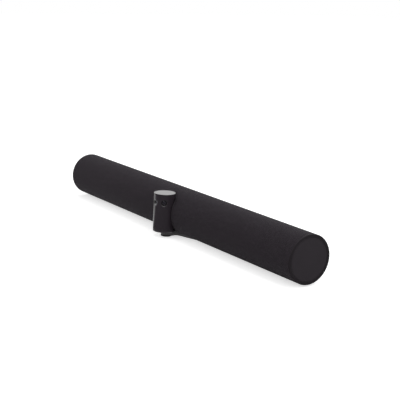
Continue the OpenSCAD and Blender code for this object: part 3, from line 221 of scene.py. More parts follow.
def lighter(colour, by):
    return tuple(min(1.0, c * by) for c in colour)


def moulded(name, colour, rough, grain_mm=0.5, depth_mm=0.01, **uniform):
    """Moulded plastic: a fine even grain, faint flow marks and a roughness that varies."""
    f = Finish(name, colour, rough, **uniform)
    grain = f.noise(grain_mm, detail=2.0, rough=0.6)
    flow = f.noise(size_mm=38)
    f.tint(f.span(flow, 0.35, 0.7), lighter(colour, 1.12))
    f.tint(f.span(grain, 0.55, 0.8, to_high=0.35), lighter(colour, 1.3))
    return f.roughen(flow, rough * 0.9, rough * 1.12).relief(grain, depth_mm).done()


def metal(name, colour, rough, streak=(6, 160, 160)):
    """Metal with fine drawn or brushed streaks and a little dulling. The streak is how many
    marks there are to a metre along each axis."""
    f = Finish(name, colour, rough, Metallic=1.0)
    lines = f.noise(1000, detail=2.0, rough=0.6, place=f.stretch(*streak))
    dulling = f.noise(size_mm=14)
    f.tint(f.span(dulling, 0.4, 0.75), lighter(colour, 0.86))
    f.tint(f.span(lines, 0.45, 0.7, to_high=0.5), lighter(colour, 1.12))
    return f.roughen(lines, rough * 0.75, rough * 1.35).relief(lines, 0.004).done()


def coated_metal(name, colour, rough, grain_mm=0.35, depth_mm=0.02, **uniform):
    """Powder coat: an orange peel of small round grains."""
    f = Finish(name, colour, rough, **uniform)
    grains = f.cells(grain_mm)
    peel = f.noise(grain_mm * 3.2)
    f.tint(f.span(peel, 0.35, 0.7), lighter(colour, 1.2))
    f.tint(f.span(grains, 0.0, 0.35, to_low=0.4, to_high=0.0), lighter(colour, 1.35))
    return f.roughen(peel, rough * 0.88, rough * 1.15).relief(grains, -depth_mm).relief(
        peel, depth_mm * 1.5).done()


def rubbery(name, colour, rough=0.78, grain_mm=0.3):
    """Rubber or foam: a gritty face with a pale bloom."""
    f = Finish(name, colour, rough)
    grit = f.noise(grain_mm, detail=4.0, rough=0.7)
    bloom = f.noise(size_mm=9)
    f.tint(f.span(bloom, 0.45, 0.75, to_high=0.6), lighter(colour, 1.45))
    return f.roughen(bloom, rough * 0.92, min(1, rough * 1.1)).relief(grit, 0.03).done()


def circuit(name, mask, tin):
    """Circuit board: traces under solder mask, with small tinned pads."""
    f = Finish(name, mask, 0.38)
    patches = f.cells(1.7, "F2", output="Color")
    lanes = f.noise(2.2, detail=0.0, place=f.stretch(1, 0.12, 1))
    cross = f.noise(2.6, detail=0.0, place=f.stretch(0.12, 1, 1))
    middle = (lanes - 0.5).size().least((cross - 0.5).size())
    traces = f.span(middle, 0.012, 0.03, to_low=1.0, to_high=0.0)
    pads = f.span(f.cells(2.4), 0.10, 0.13, to_low=1.0, to_high=0.0)
    f.tint(traces, lighter(mask, 1.9))
    f.tint(pads, tin)
    f.tint(f.span(patches, 0.9, 1.0, to_high=0.2), lighter(mask, 0.7))
    return f.relief(traces, 0.03).relief(pads, 0.03).done()


def knit(name, dark, light, wale_mm=0.95, course_mm=0.72):
    """Fine warp knit: rows of small V stitches in a slightly mottled yarn.
    The pattern follows the cover: u runs along the bar, v round it, both in metres."""
    f = Finish(name, dark, 0.92, Sheen_Weight=0.10, Sheen_Roughness=0.4,
               Sheen_Tint=(0.86, 0.84, 0.88, 1), Specular_IOR_Level=0.08)
    chart = add_node(f.tree, "ShaderNodeUVMap", uv_map="UVMap")
    split = add_node(f.tree, "ShaderNodeSeparateXYZ", {0: chart})
    wale = Value(f.tree, split.outputs[0]) / (wale_mm * MM)
    course = Value(f.tree, split.outputs[1]) / (course_mm * MM)
    across = (wale.part() - 0.5).size()
    leg = course + across * 1.35
    loop = (leg * (2 * math.pi)).cosine() * 0.5 + 0.5
    ridge = ((across - 0.25).size() * 4.0).power(1.6) * -1 + 1
    stitch = loop * 0.45 + ridge * 0.55
    yarn = f.noise(1.35, detail=2.0, rough=0.6)
    heather = f.noise(3.4, detail=4.0, rough=0.62)
    cloud = f.noise(size_mm=26)
    f.tint(f.span(stitch, 0.15, 0.75, to_low=0.75, to_high=0.0), lighter(dark, 0.62))
    f.tint(f.span(yarn, 0.48, 0.66, to_high=0.42), light)
    f.tint(f.span(heather, 0.46, 0.68, to_high=0.5), light)
    f.tint(f.span(cloud, 0.35, 0.7, to_low=0.12, to_high=0.0), lighter(dark, 0.8))
    return f.relief(stitch, 0.16).relief(yarn, 0.10).relief(heather, 0.10).done()


def optical(name, colour, coat, alpha):
    """Coated glass, drawn as a dark clear sheet with a coloured gloss and a little dust."""
    f = Finish(name, colour, 0.03, Coat_Weight=0.6, Coat_Roughness=0.02, Coat_Tint=(*coat, 1),
               Specular_IOR_Level=0.7, Alpha=alpha)
    dust = f.noise(0.8, detail=2.0)
    f.tint(f.span(dust, 0.62, 0.75, to_high=0.25), lighter(colour, 1.5))
    return f.roughen(dust, 0.02, 0.06).done()


KNIT = knit("knit_cover", shade(38, 33, 38), shade(53, 47, 53))
POD = moulded("pod_satin", shade(44, 39, 44), 0.14, 0.25, 0.0015)
CONE = moulded("lens_cone_polish", shade(31, 28, 31), 0.16, 0.25, 0.001, Coat_Weight=1.0,
               Coat_IOR=2.1)
POD_GLOSS = moulded("pod_cap_gloss", shade(38, 35, 38), 0.12, 0.3, 0.001, Coat_Weight=0.5)
RING = moulded("end_ring_satin", shade(34, 30, 34), 0.45, 0.4, 0.004, Specular_IOR_Level=0.25)
DISC = moulded("end_disc_matt", shade(45, 41, 45), 0.66, 0.28, 0.012, Specular_IOR_Level=0.15)
# Partly its own grey, partly painted light: lighter than the cover to lift the shade in the
# pocket's gap.
SADDLE = moulded("pocket_lining", shade(64, 60, 64), 0.7, 0.5, 0.01, Specular_IOR_Level=0.2)
CAST = coated_metal("cast_foot_coat", shade(40, 36, 40), 0.38, 0.5, 0.012)
HOUSING = moulded("housing_texture", shade(36, 33, 36), 0.6, 0.55, 0.03,
                  Specular_IOR_Level=0.3)
BOX = moulded("plain_moulding", shade(33, 32, 35), 0.55)
KEY = moulded("key_plastic", shade(30, 29, 31), 0.42)
CHIP = moulded("chip_epoxy", shade(27, 27, 29), 0.5, 0.2, 0.006)
BARREL = moulded("lens_barrel_black", shade(12, 12, 14), 0.42, 0.2, 0.003)
BASKET = coated_metal("basket_coat", shade(30, 30, 32), 0.5)
PAPER = moulded("cone_paper", shade(34, 33, 35), 0.75, 1.2, 0.04)
RUBBER = rubbery("foot_rubber", shade(20, 20, 20))
SURROUND = rubbery("surround_rubber", shade(22, 22, 23))
FOAM = rubbery("gasket_foam", shade(84, 86, 88), 0.95, 0.8)
ALLOY = metal("drawn_alloy", shade(196, 198, 201), 0.34)
TUBE = coated_metal("tube_coat", shade(46, 42, 46), 0.6, 0.4, 0.01, Specular_IOR_Level=0.2)
PANEL = coated_metal("coated_panel", shade(56, 54, 57), 0.5, 0.4, 0.008)
STEEL = metal("zinc_steel", shade(168, 171, 176), 0.30, (120, 8, 120))
MAGNET = metal("plated_magnet", shade(150, 151, 154), 0.4, (60, 60, 60))
NICKEL = metal("socket_nickel", shade(190, 192, 196), 0.22, (90, 10, 90))
BRASS = metal("turned_brass", shade(190, 155, 88), 0.26, (40, 40, 300))
CONTACT = metal("gilt_contact", shade(226, 188, 110), 0.2, (60, 20, 60))
FILM = moulded("amber_film", shade(184, 108, 40), 0.3, 0.6, 0.004)
BOARD = circuit("solder_mask", shade(26, 84, 52), shade(200, 196, 180))
GLASS = optical("coated_window", shade(50, 46, 52), (0.86, 0.88, 1.0), 0.8)
ELEMENT = optical("front_element", shade(14, 12, 22), (0.55, 0.45, 0.95), 0.85)


# Mesh words

def link(obj):
    scene.collection.objects.link(obj)
    return obj


def plain(work):
    """The evaluated mesh of a work object, which is then removed."""
    bpy.context.view_layer.update()
    graph = bpy.context.evaluated_depsgraph_get()
    result = bpy.data.meshes.new_from_object(work.evaluated_get(graph))
    old = work.data
    bpy.data.objects.remove(work)
    if old.users == 0:
        bpy.data.meshes.remove(old)
    return result


def finished(name, mesh, material, body, replaces=(), sharp=35, even=True):
    """Makes a piece of a mesh in metres: faces outward, smooth but for edges sharper than so
    many degrees, and on its body if one is given. An even piece has its large faces shaded
    flat up to their rounded edges."""
    bm = bmesh.new()
    bm.from_mesh(mesh)
    bmesh.ops.remove_doubles(bm, verts=bm.verts, dist=FINE_MERGE)
    bmesh.ops.dissolve_degenerate(bm, dist=1e-8, edges=bm.edges)
    bmesh.ops.recalc_face_normals(bm, faces=bm.faces)
    bm.to_mesh(mesh)
    bm.free()
    for polygon in mesh.polygons:
        polygon.use_smooth = True
    mesh.set_sharp_from_angle(angle=math.radians(sharp))
    mesh.materials.clear()
    mesh.materials.append(material)
    if even:
        work = link(bpy.data.objects.new(name, mesh))
        level = work.modifiers.new("even", "WEIGHTED_NORMAL")
        level.keep_sharp, level.weight = True, 90
        mesh = plain(work)
    obj = link(bpy.data.objects.new(name, mesh))
    if replaces:
        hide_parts(*replaces)
    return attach(obj, body) if body else obj


def raw_mesh(name, points, faces):
    mesh = bpy.data.meshes.new(name)
    mesh.from_pydata([tuple(p) for p in points], [], faces)
    mesh.update()
    return mesh


def joined(name, parts):
    """One mesh of several (points, faces) pairs."""
    points, faces = [], []
    for more_points, more_faces in parts:
        start = len(points)
        points += list(more_points)
        faces += [[start + i for i in face] for face in more_faces]
    return raw_mesh(name, points, faces)


def merged(name, meshes):
    """One mesh of several meshes."""
    bm = bmesh.new()
    for mesh in meshes:
        bm.from_mesh(mesh)
    whole = bpy.data.meshes.new(name)
    bm.to_mesh(whole)
    bm.free()
    return whole


def eased(corners, steps=4):
    """A closed outline of (radius, height, rounding) corners, as (radius, height) points."""
    made = []
    for i, (radius, height, rounding) in enumerate(corners):
        p = np.array((radius, height), float)
        if rounding <= 0:
            made.append(tuple(p))
            continue
        a = np.array(corners[i - 1][:2], float) - p
        b = np.array(corners[(i + 1) % len(corners)][:2], float) - p
        a, b = a / np.linalg.norm(a), b / np.linalg.norm(b)
        half = math.acos(max(-1, min(1, float(a @ b)))) / 2
        centre = p + (a + b) / np.linalg.norm(a + b) * rounding / math.sin(half)
        start = p + a * rounding / math.tan(half) - centre
        end = p + b * rounding / math.tan(half) - centre
        turn = math.atan2(start[0] * end[1] - start[1] * end[0], float(start @ end))
        for k in range(steps + 1):
            c, s = math.cos(turn * k / steps), math.sin(turn * k / steps)
            made.append((centre[0] + start[0] * c - start[1] * s,
                         centre[1] + start[0] * s + start[1] * c))
    return made


def turned(outline, where, segments):
    """Turns a closed outline of (radius, height) points about the z axis of a 4x4 matrix."""
    count = len(outline)
    points, faces = [], []
    for angle in np.arange(segments) * 2 * math.pi / segments:
        c, s = math.cos(angle), math.sin(angle)
        points += [where @ Vector((r * c * MM, r * s * MM, h * MM)) for r, h in outline]
    on_axis = [r < 1e-9 for r, _ in outline]
    for k in range(segments):
        a, b = k * count, (k + 1) % segments * count
        for i in range(count):
            j = (i + 1) % count
            if on_axis[i] and on_axis[j]:
                continue
            if on_axis[i]:
                faces.append([a + i, b + j, a + j])
            elif on_axis[j]:
                faces.append([a + i, b + i, a + j])
            else:
                faces.append([a + i, b + i, b + j, a + j])
    return points, faces


def at(x, y, z, axis="z", turn=0.0):
    """Where a turned piece stands, and which way of the bar its own axis points."""
    right = math.pi / 2
    spin = {"z": Matrix.Identity(4), "x": Matrix.Rotation(right, 4, "Y"),
            "-x": Matrix.Rotation(-right, 4, "Y"), "-y": Matrix.Rotation(right, 4, "X"),
            "y": Matrix.Rotation(-right, 4, "X")}
    return (Matrix.Translation(placed(x, y, z)) @ Matrix.Rotation(math.radians(turn), 4, "Z")
            @ spin[axis])


def at_lens(turn):
    """A lens's axis points out of the pod; its zero is on the pod's own axis."""
    return at(0, POD_Y, LENS_Z, "-y", turn)


def softened(node, width_mm, material):
    """A copy of a CAD node with its edges broken by a small rounding."""
    mesh = nodes[node].data.copy()
    bm = bmesh.new()
    bm.from_mesh(mesh)
    bmesh.ops.remove_doubles(bm, verts=bm.verts, dist=CAD_MERGE)
    bmesh.ops.dissolve_limit(bm, angle_limit=math.radians(0.6), verts=bm.verts, edges=bm.edges)
    bm.to_mesh(mesh)
    bm.free()
    title = node + "_eased"
    work = link(bpy.data.objects.new(title, mesh))
    bevel = work.modifiers.new("edges", "BEVEL")
    bevel.width, bevel.segments = width_mm * MM, 2
    bevel.limit_method, bevel.angle_limit = "ANGLE", math.radians(32)
    return finished(title, plain(work), material, "bar", (node,), 30)


# Geometry node words

def new_tree(name, inputs):
    """A geometry tree with named inputs of the given kinds; returns it and its inputs."""
    tree = bpy.data.node_groups.new(name, "GeometryNodeTree")
    tree.interface.new_socket("Geometry", in_out="INPUT", socket_type="NodeSocketGeometry")
    tree.interface.new_socket("Geometry", in_out="OUTPUT", socket_type="NodeSocketGeometry")
    for key, kind in inputs.items():
        tree.interface.new_socket(key, in_out="INPUT", socket_type="NodeSocket" + kind)
    source = tree.nodes.new("NodeGroupInput")
    return tree, {s.name: Value(tree, s) for s in source.outputs if s.name}


def ending(tree, geometry, material):
    """Every tree ends in real geometry with its material set."""
    real = add_node(tree, "GeometryNodeRealizeInstances", {0: geometry})
    painted = add_node(tree, "GeometryNodeSetMaterial", {"Geometry": real, "Material": material})
    add_node(tree, "NodeGroupOutput", {0: painted})
    return tree


def grown(name, tree, inputs, base=None):
    """Runs a geometry tree on a mesh and returns the plain result."""
    work = link(bpy.data.objects.new(name, base or bpy.data.meshes.new(name)))
    modifier = work.modifiers.new(name, "NODES")
    modifier.node_group = tree
    for item in tree.interface.items_tree:
        if item.in_out == "INPUT" and item.name in inputs:
            modifier[item.identifier] = inputs[item.name]
    return plain(work)


# The knitted cover

def cover_tree():
    """Rolls a flat grid into one half of the cover: it starts at the pod's pocket, or at the
    middle of the bar behind it, and ends under the end ring. Its edge at the pocket and its hem
    are rounded in. Where each point lay on the flat cloth is kept for the knit."""
    tree, given = new_tree("cover_half", {
        "Radius": "Float", "Half length": "Float", "Pocket radius": "Float",
        "Pocket distance": "Float", "Edge rounding": "Float", "Hem rounding": "Float",
        "Columns": "Int", "Rows": "Int", "Axis": "Vector", "Material": "Material"})
    radius, half, pocket = given["Radius"], given["Half length"], given["Pocket radius"]
    edge, hem = given["Edge rounding"], given["Hem rounding"]

    def rounded_off(rounding, into_it):
        """How far a quarter round has dropped, so far into it."""
        return rounding - (rounding * rounding - into_it * into_it).most(0.0).root()

    grid = add_node(tree, "GeometryNodeMeshGrid", {
        "Size X": 1.0, "Size Y": 1.0, "Vertices X": given["Columns"],
        "Vertices Y": given["Rows"]})
    flat = add_node(tree, "ShaderNodeSeparateXYZ", {
        0: add_node(tree, "GeometryNodeInputPosition")})
    along = Value(tree, flat.outputs[0]) + 0.5
    angle = Value(tree, flat.outputs[1]) * (2 * math.pi)
    c, s = angle.cosine(), angle.sine()
    reach = given["Pocket distance"] - radius * c
    start = (pocket * pocket - reach * reach).most(0.0).root()
    finer_at_both_ends = along * along * (3.0 - along * 2.0)
    x = start + (half - start) * (along * 0.03 + finer_at_both_ends * 0.97)
    from_pod = ((x * x + reach * reach).root() - pocket).most(0.0)
    edge_drop = rounded_off(edge, (edge - from_pod).most(0.0))
    hem_drop = rounded_off(hem, (hem - (half - x)).most(0.0))
    out = radius - edge_drop - hem_drop
    spot = add_node(tree, "ShaderNodeCombineXYZ", {0: x, 1: out * c * -1, 2: out * s})
    chart = add_node(tree, "ShaderNodeCombineXYZ", {0: x, 1: angle * radius})
    charted = add_node(tree, "GeometryNodeStoreNamedAttribute", {
        "Geometry": grid, "Name": "UVMap", "Value": chart}, data_type="FLOAT2", domain="CORNER")
    rolled = add_node(tree, "GeometryNodeSetPosition", {"Geometry": charted, "Position": spot})
    centred = add_node(tree, "GeometryNodeTransform", {
        "Geometry": rolled, "Translation": given["Axis"]})
    return ending(tree, centred, given["Material"])


def knitted_cover():
    pocket_gap = 1.6
    mesh = grown("cover_right_half", cover_tree(), {
        "Radius": BAR_R * MM, "Half length": SLEEVE_END * MM,
        "Pocket radius": (POD_R + pocket_gap) * MM, "Pocket distance": -POD_Y * MM,
        "Edge rounding": 0.9 * MM, "Hem rounding": 0.45 * MM, "Columns": 112, "Rows": 193,
        "Axis": tuple(AXIS), "Material": KNIT})
    bm = bmesh.new()
    bm.from_mesh(mesh)
    chart = bm.loops.layers.uv.get("UVMap")
    left = bmesh.ops.duplicate(bm, geom=bm.verts[:] + bm.edges[:] + bm.faces[:])["geom"]
    for vert in (item for item in left if isinstance(item, bmesh.types.BMVert)):
        vert.co.x *= -1
    left_faces = [item for item in left if isinstance(item, bmesh.types.BMFace)]
    for face in left_faces:
        for loop in face.loops:
            loop[chart].uv.x *= -1
    bmesh.ops.reverse_faces(bm, faces=left_faces)
    bmesh.ops.remove_doubles(bm, verts=bm.verts, dist=CAD_MERGE)
    bmesh.ops.recalc_face_normals(bm, faces=bm.faces)
    sample = [(face.normal, face.calc_center_median() - AXIS) for face in list(bm.faces)[::97]]
    if sum(normal.y * middle.y + normal.z * middle.z for normal, middle in sample) < 0:
        bmesh.ops.reverse_faces(bm, faces=bm.faces)
    bm.to_mesh(mesh)
    bm.free()
    work = link(bpy.data.objects.new("cover_work", mesh))
    wall = work.modifiers.new("thickness", "SOLIDIFY")
    wall.thickness, wall.offset, wall.use_rim = 0.95 * MM, -1, True
    cover = finished("knitted_cover", plain(work), KNIT, "bar", ("fabric_sleeve",),
                     60, even=False)


# The bar's ends. A profile's heights go inward from the end.

def bar_ends():
    ring = eased([(32.7, 0, 0.25), (BAR_R, 0, 0.6), (BAR_R, 1.2, 0.15), (34.5, 1.2, 0),
                  (34.5, 10.2, 0.3), (32.7, 10.2, 0.3), (32.7, 3.8, 0), (30.7, 3.8, 0),
                  (30.7, 2.3, 0), (32.7, 2.3, 0)])
    disc = eased([(0, 0.3, 0), (32.6, 0.3, 0.3), (32.6, 2.3, 0), (30.6, 2.3, 0),
                  (30.6, 10.2, 0.2), (29.1, 10.2, 0.2), (29.1, 2.3, 0), (0, 2.3, 0)])
    for word, end, inward in (("left", -HALF_LEN, "x"), ("right", HALF_LEN, "-x")):
        where = at(end, 0, 0, inward)
        finished(f"end_rim_{word}", joined("rim", [turned(ring, where, 160)]), RING, "bar",
                 (f"end_ring_{word}",))
        finished(f"end_cap_{word}", joined("cap", [turned(disc, where, 160)]), DISC, "bar",
                 (f"end_disc_{word}",))


# The camera pod

def smooth_least(a, b, soft):
    """The lesser of two values, with a rounding where they cross."""
    h = min(1.0, max(0.0, 0.5 + 0.5 * (b - a) / soft))
    return b + (a - b) * h - soft * h * (1 - h)


def skin_out(across, distance):
    """How far out of the pod's axis its outer skin is, near a lens: the lesser of the round
    skin and the lens's cone."""
    slope = (MOUTH_OUT - FLOOR_OUT) / (MOUTH - FLOOR)
    cone = FLOOR_OUT + (distance - FLOOR) * slope
    return smooth_least(cone, math.sqrt(POD_R ** 2 - across ** 2), LIP)


def lining_out(across, distance):
    """The same for the inner face: a seat for the window, a boss round it, then the wall."""
    if distance < SEAT:
        return SEAT_OUT
    if distance < BOSS:
        return BOSS_OUT
    return math.sqrt((POD_R - POD_WALL) ** 2 - across ** 2)


def pod_wall():
    """Points of the pod's wall, outside and inside, and quads over them: an even grid, with
    a patch of rings round each lens. The hole behind each cone stays open."""
    half_turn, rise, cells, cells_behind = 24.0, 7.6, 20, 61
    rings = (FLOOR, 3.4, 3.52, 3.9, 4.3, 4.6, 4.8, 5.0, 5.12, 5.24, 5.36, 5.48, 5.6, 5.8, 6.2,
             6.8)
    lens_turns = LENS_TURNS.values()
    seams = sorted({round(c, 6) for lens in lens_turns
                    for c in np.linspace(lens - half_turn, lens + half_turn, cells + 1)})
    behind = np.linspace(seams[-1], 360 + seams[0], cells_behind + 1)[1:-1]
    turns = seams + list(behind) + [seams[0] + 360]
    heights = (list(np.linspace(POD_Z0, LENS_Z - rise, 25))
               + list(np.linspace(LENS_Z - rise, LENS_Z + rise, cells + 1))[1:]
               + list(np.linspace(LENS_Z + rise, POD_Z1, 9))[1:])
    outside, inside, faces, index = [], [], [], {}

    def spot(turn, out, across, height):
        c, s = math.cos(math.radians(turn)), math.sin(math.radians(turn))
        return placed(out * s + across * c, POD_Y - out * c + across * s, height)

    def grid_point(turn, height):
        key = (round(turn % 360, 4), round(height, 4))
        if key not in index:
            index[key] = len(outside)
            outside.append(spot(turn, POD_R, 0, height))
            inside.append(spot(turn, POD_R - POD_WALL, 0, height))
        return index[key]

    for t0, t1 in zip(turns, turns[1:]):
        beside_a_lens = any(abs((t0 + t1) / 2 - lens) < half_turn for lens in lens_turns)
        for h0, h1 in zip(heights, heights[1:]):
            if not (beside_a_lens and abs((h0 + h1) / 2 - LENS_Z) < rise):
                faces.append([grid_point(t0, h0), grid_point(t1, h0), grid_point(t1, h1),
                              grid_point(t0, h1)])
    steps = np.linspace(-1, 1, cells + 1)[:-1]
    border = ([(k, -1) for k in steps] + [(1, k) for k in steps] + [(-k, 1) for k in steps]
              + [(-1, -k) for k in steps])
    for lens in lens_turns:
        loops = []
        for distance in rings:
            loop = []
            for turn, height in border:
                angle = math.atan2(height * rise,
                                   POD_R * math.sin(math.radians(turn * half_turn)))
                across = distance * math.cos(angle)
                level = LENS_Z + distance * math.sin(angle)
                loop.append(len(outside))
                outside.append(spot(lens, skin_out(across, distance), across, level))
                inside.append(spot(lens, lining_out(across, distance), across, level))
            loops.append(loop)
        loops.append([grid_point(lens + turn * half_turn, LENS_Z + height * rise)
                      for turn, height in border])
        for near, far in zip(loops, loops[1:]):
            faces += [[near[k], far[k], far[(k + 1) % len(far)], near[(k + 1) % len(near)]]
                      for k in range(len(near))]
    return outside, inside, faces


def pod_shell():
    outside, inside, faces = pod_wall()
    count = len(outside)
    both = faces + [[i + count for i in reversed(face)] for face in faces]
    edges = {(a, b) for face in faces for a, b in zip(face, face[1:] + face[:1])}
    both += [[b, a, a + count, b + count] for a, b in sorted(edges) if (b, a) not in edges]
    mesh = raw_mesh("pod_shell_skin", outside + inside, both)
    skin = finished("pod_shell_skin", mesh, POD, "bar", ("pod_shell",), 38,
                    even=False)
    skin.data.materials.append(CONE)
    for turn in LENS_TURNS.values():
        to_lens = at_lens(turn).inverted()
        outward = at_lens(turn).col[2].to_3d()
        for polygon in skin.data.polygons:
            local = to_lens @ polygon.center / MM
            if math.hypot(local.x, local.y) < MOUTH and polygon.normal.dot(outward) > 0:
                under_skin = math.sqrt(POD_R ** 2 - local.x ** 2) - 0.1
                if FLOOR_OUT < local.z < under_skin:
                    polygon.material_index = 1


def pod_caps():
    """The ring and the lid on top, and the cap underneath."""
    z1, z0 = POD_TOP, POD_UNDER
    rim, bore = 18, 15.7
    ring = [(15.8, z1 - 1.6, 0), (17.5, z1 - 1.6, 0.15), (rim, z1 - 1.1, 0.15),
            (rim, z1 - 0.5, 0.2), (17.5, z1, 0.2), (15.8, z1, 0.12)]
    lid = [(0, z1 - 3.2, 0), (13.5, z1 - 3.2, 0), (13.5, z1 - 4.6, 0.2), (bore, z1 - 4.6, 0.2),
           (bore, z1 - 0.1, 0.18), (0, z1 - 0.1, 0)]
    base = [(0, z0, 0), (17.5, z0, 0.2), (rim, z0 + 0.5, 0.2), (rim, z0 + 1.6, 0.1),
            (bore, z0 + 1.6, 0), (bore, z0 + 4.6, 0.2), (14.1, z0 + 4.6, 0.2),
            (14.1, z0 + 1.6, 0), (0, z0 + 1.6, 0)]
    for name, profile, material, node, slot in (
            ("pod_crown", ring, POD_GLOSS, "pod_top_ring", "pod_top"),
            ("pod_lid", lid, POD_GLOSS, "pod_top_disc", "pod_top"),
            ("pod_underside", base, POD, "pod_base_cap", "pod_black")):
        mesh = joined(name, [turned(eased(profile, 3), at(0, POD_Y, 0), 160)])
        finished(name, mesh, material, "bar", (node,))


def lenses():
    window = eased([(0, 14.05, 0), (3.4, 14.05, 0.1), (3.4, 14.85, 0.18), (0, 14.85, 0)], 3)
    barrel = eased([(2.5, 9.9, 0), (2.5, 13.55, 0.05), (2.75, 13.6, 0.05), (2.75, 13.75, 0.04),
                    (3.0, 13.95, 0.04), (3.6, 13.95, 0.12), (3.6, 8.85, 0.12), (0, 8.85, 0),
                    (0, 9.9, 0)], 2)
    dome = [(0, 12.85), (2.4, 12.85)] + [
        (2.4 * math.cos(a), 13.2 + 0.6 * math.sin(a))
        for a in np.linspace(0, math.pi / 2, 9)[:-1]] + [(0, 13.8)]
    for word, turn in LENS_TURNS.items():
        finished(f"window_{word}", joined("window", [turned(window, at_lens(turn), 64)]), GLASS,
                 "bar", (f"lens_window_{word}",))
    for name, profile, material, node, slot, sharp in (
            ("barrels", barrel, BARREL, "lens_barrels", "lens_black", 35),
            ("front_elements", dome, ELEMENT, "lens_glasses", "lens_glass", 50)):
        mesh = joined(name, [turned(profile, at_lens(t), 64) for t in LENS_TURNS.values()])
        finished(name, mesh, material, "bar", (node,), sharp)


# Feet and inserts

def in_plan(node):
    """Where a node stands: the middle of its box along and across the bar."""
    low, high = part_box(node)
    return (low.x + high.x) / 2 / MM, ((low.y + high.y) / 2 - AXIS.y) / MM


def feet():
    """Rubber pads, with their undersides hollowed by a quarter of a millimetre."""
    stem, pad, hollow = 1.81, 9.05, TABLE + 0.25
    front = eased([(0, hollow, 0), (6.6, hollow, 0.1), (6.9, TABLE, 0.1), (8.75, TABLE, 0.12),
                   (pad, TABLE + 0.3, 0.15), (pad, TABLE + 2.8, 0.1), (stem, TABLE + 2.8, 0),
                   (stem, TABLE + 5.6, 0.3), (0, TABLE + 5.6, 0)], 3)
    where = at(0, in_plan("front_foot")[1], 0)
    finished("front_pad", joined("pad", [turned(front, where, 96)]), RUBBER, "bar",
             ("front_foot",))
    for word in ("left", "right"):
        low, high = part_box(f"rear_foot_{word}")
        r, top = (high.x - low.x) / 2 / MM, (high.z - AXIS.z) / MM
        rear = eased([(0, hollow, 0), (r - 2.4, hollow, 0.1), (r - 2.1, TABLE, 0.1),
                      (r - 0.3, TABLE, 0.12), (r, TABLE + 0.3, 0.15), (r, top, 0.1),
                      (0, top, 0)], 3)
        where = at(*in_plan(f"rear_foot_{word}"), 0)
        finished(f"rear_pad_{word}", joined("pad", [turned(rear, where, 72)]), RUBBER, "bar",
                 (f"rear_foot_{word}",))


def threaded_insert():
    """The tripod insert, with its thread as a row of grooves."""
    low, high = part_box("tripod_insert")
    z0, z1, r = (low.z - AXIS.z) / MM, (high.z - AXIS.z) / MM, (high.x - low.x) / 2 / MM
    mouth, crest, root, pitch = 2.95, 2.55, 3.05, 1.27
    profile = [(mouth, z0)]
    z = z0 + 0.45
    while z + pitch < z1:
        profile += [(crest, z), (crest, z + 0.12), (root, z + pitch / 2),
                    (root, z + pitch / 2 + 0.1)]
        z += pitch
    profile += [(crest, z), (crest, z1), (r, z1), (r, z0)]
    where = at(*in_plan("tripod_insert"), 0)
    finished("threaded_insert", joined("insert", [turned(profile[::-1], where, 64)]), BRASS,
             "bar", ("tripod_insert",), 25)


# Screws with cross recesses, and the sockets' contacts

def screw_tree():
    """A pan head with a cross recess and a plain shank on every point of the mesh."""
    tree, given = new_tree("cross_recess_screws", {
        "Head radius": "Float", "Head height": "Float", "Shank radius": "Float",
        "Shank length": "Float", "Turn": "Vector", "Material": "Material"})
    head_r, head_h, shank_h = given["Head radius"], given["Head height"], given["Shank length"]
    head = add_node(tree, "GeometryNodeMeshCylinder", {
        "Vertices": 28, "Radius": head_r, "Depth": head_h})
    drilled = add_node(tree, "GeometryNodeMeshBoolean", {"Mesh 1": head},
                       operation="DIFFERENCE", solver="EXACT")
    slit_long, slit_wide = 2.2, 0.42
    for x, y in ((slit_long, slit_wide), (slit_wide, slit_long)):
        size = add_node(tree, "ShaderNodeCombineXYZ", {
            0: head_r * (x / 2), 1: head_r * (y / 2), 2: head_h})
        lift = add_node(tree, "ShaderNodeCombineXYZ", {2: head_h * -0.6})
        slit = add_node(tree, "GeometryNodeTransform", {
            "Geometry": add_node(tree, "GeometryNodeMeshCube", {"Size": size}),
            "Translation": lift})
        feed(tree, drilled.inputs["Mesh 2"], slit)
    shank = add_node(tree, "GeometryNodeMeshCylinder", {
        "Vertices": 20, "Radius": given["Shank radius"], "Depth": shank_h})
    lift = add_node(tree, "ShaderNodeCombineXYZ", {2: (head_h + shank_h) / 2})
    up = add_node(tree, "GeometryNodeTransform", {"Geometry": shank, "Translation": lift})
    screw = add_node(tree, "GeometryNodeJoinGeometry", {0: drilled})
    feed(tree, screw.inputs[0], up)
    spread = add_node(tree, "GeometryNodeInstanceOnPoints", {
        "Points": given["Geometry"], "Instance": screw, "Rotation": given["Turn"]})
    return ending(tree, spread, given["Material"])


def loose_solids(node):
    """The lowest and highest corners of each loose solid of a CAD node, in millimetres from
    the bar's axis."""
    bm = bmesh.new()
    bm.from_mesh(nodes[node].data)
    bmesh.ops.remove_doubles(bm, verts=bm.verts, dist=CAD_MERGE)
    left, found = set(bm.verts), []
    while left:
        stack, island = [left.pop()], []
        while stack:
            vert = stack.pop()
            island.append(vert.co.copy())
            for edge in vert.link_edges:
                other = edge.other_vert(vert)
                if other in left:
                    left.discard(other)
                    stack.append(other)
        corners = (np.array(island) - np.array(AXIS)) / MM
        found.append((corners.min(0), corners.max(0)))
    bm.free()
    return sorted(found, key=lambda box: tuple(round(v, 1) for v in box[0]))


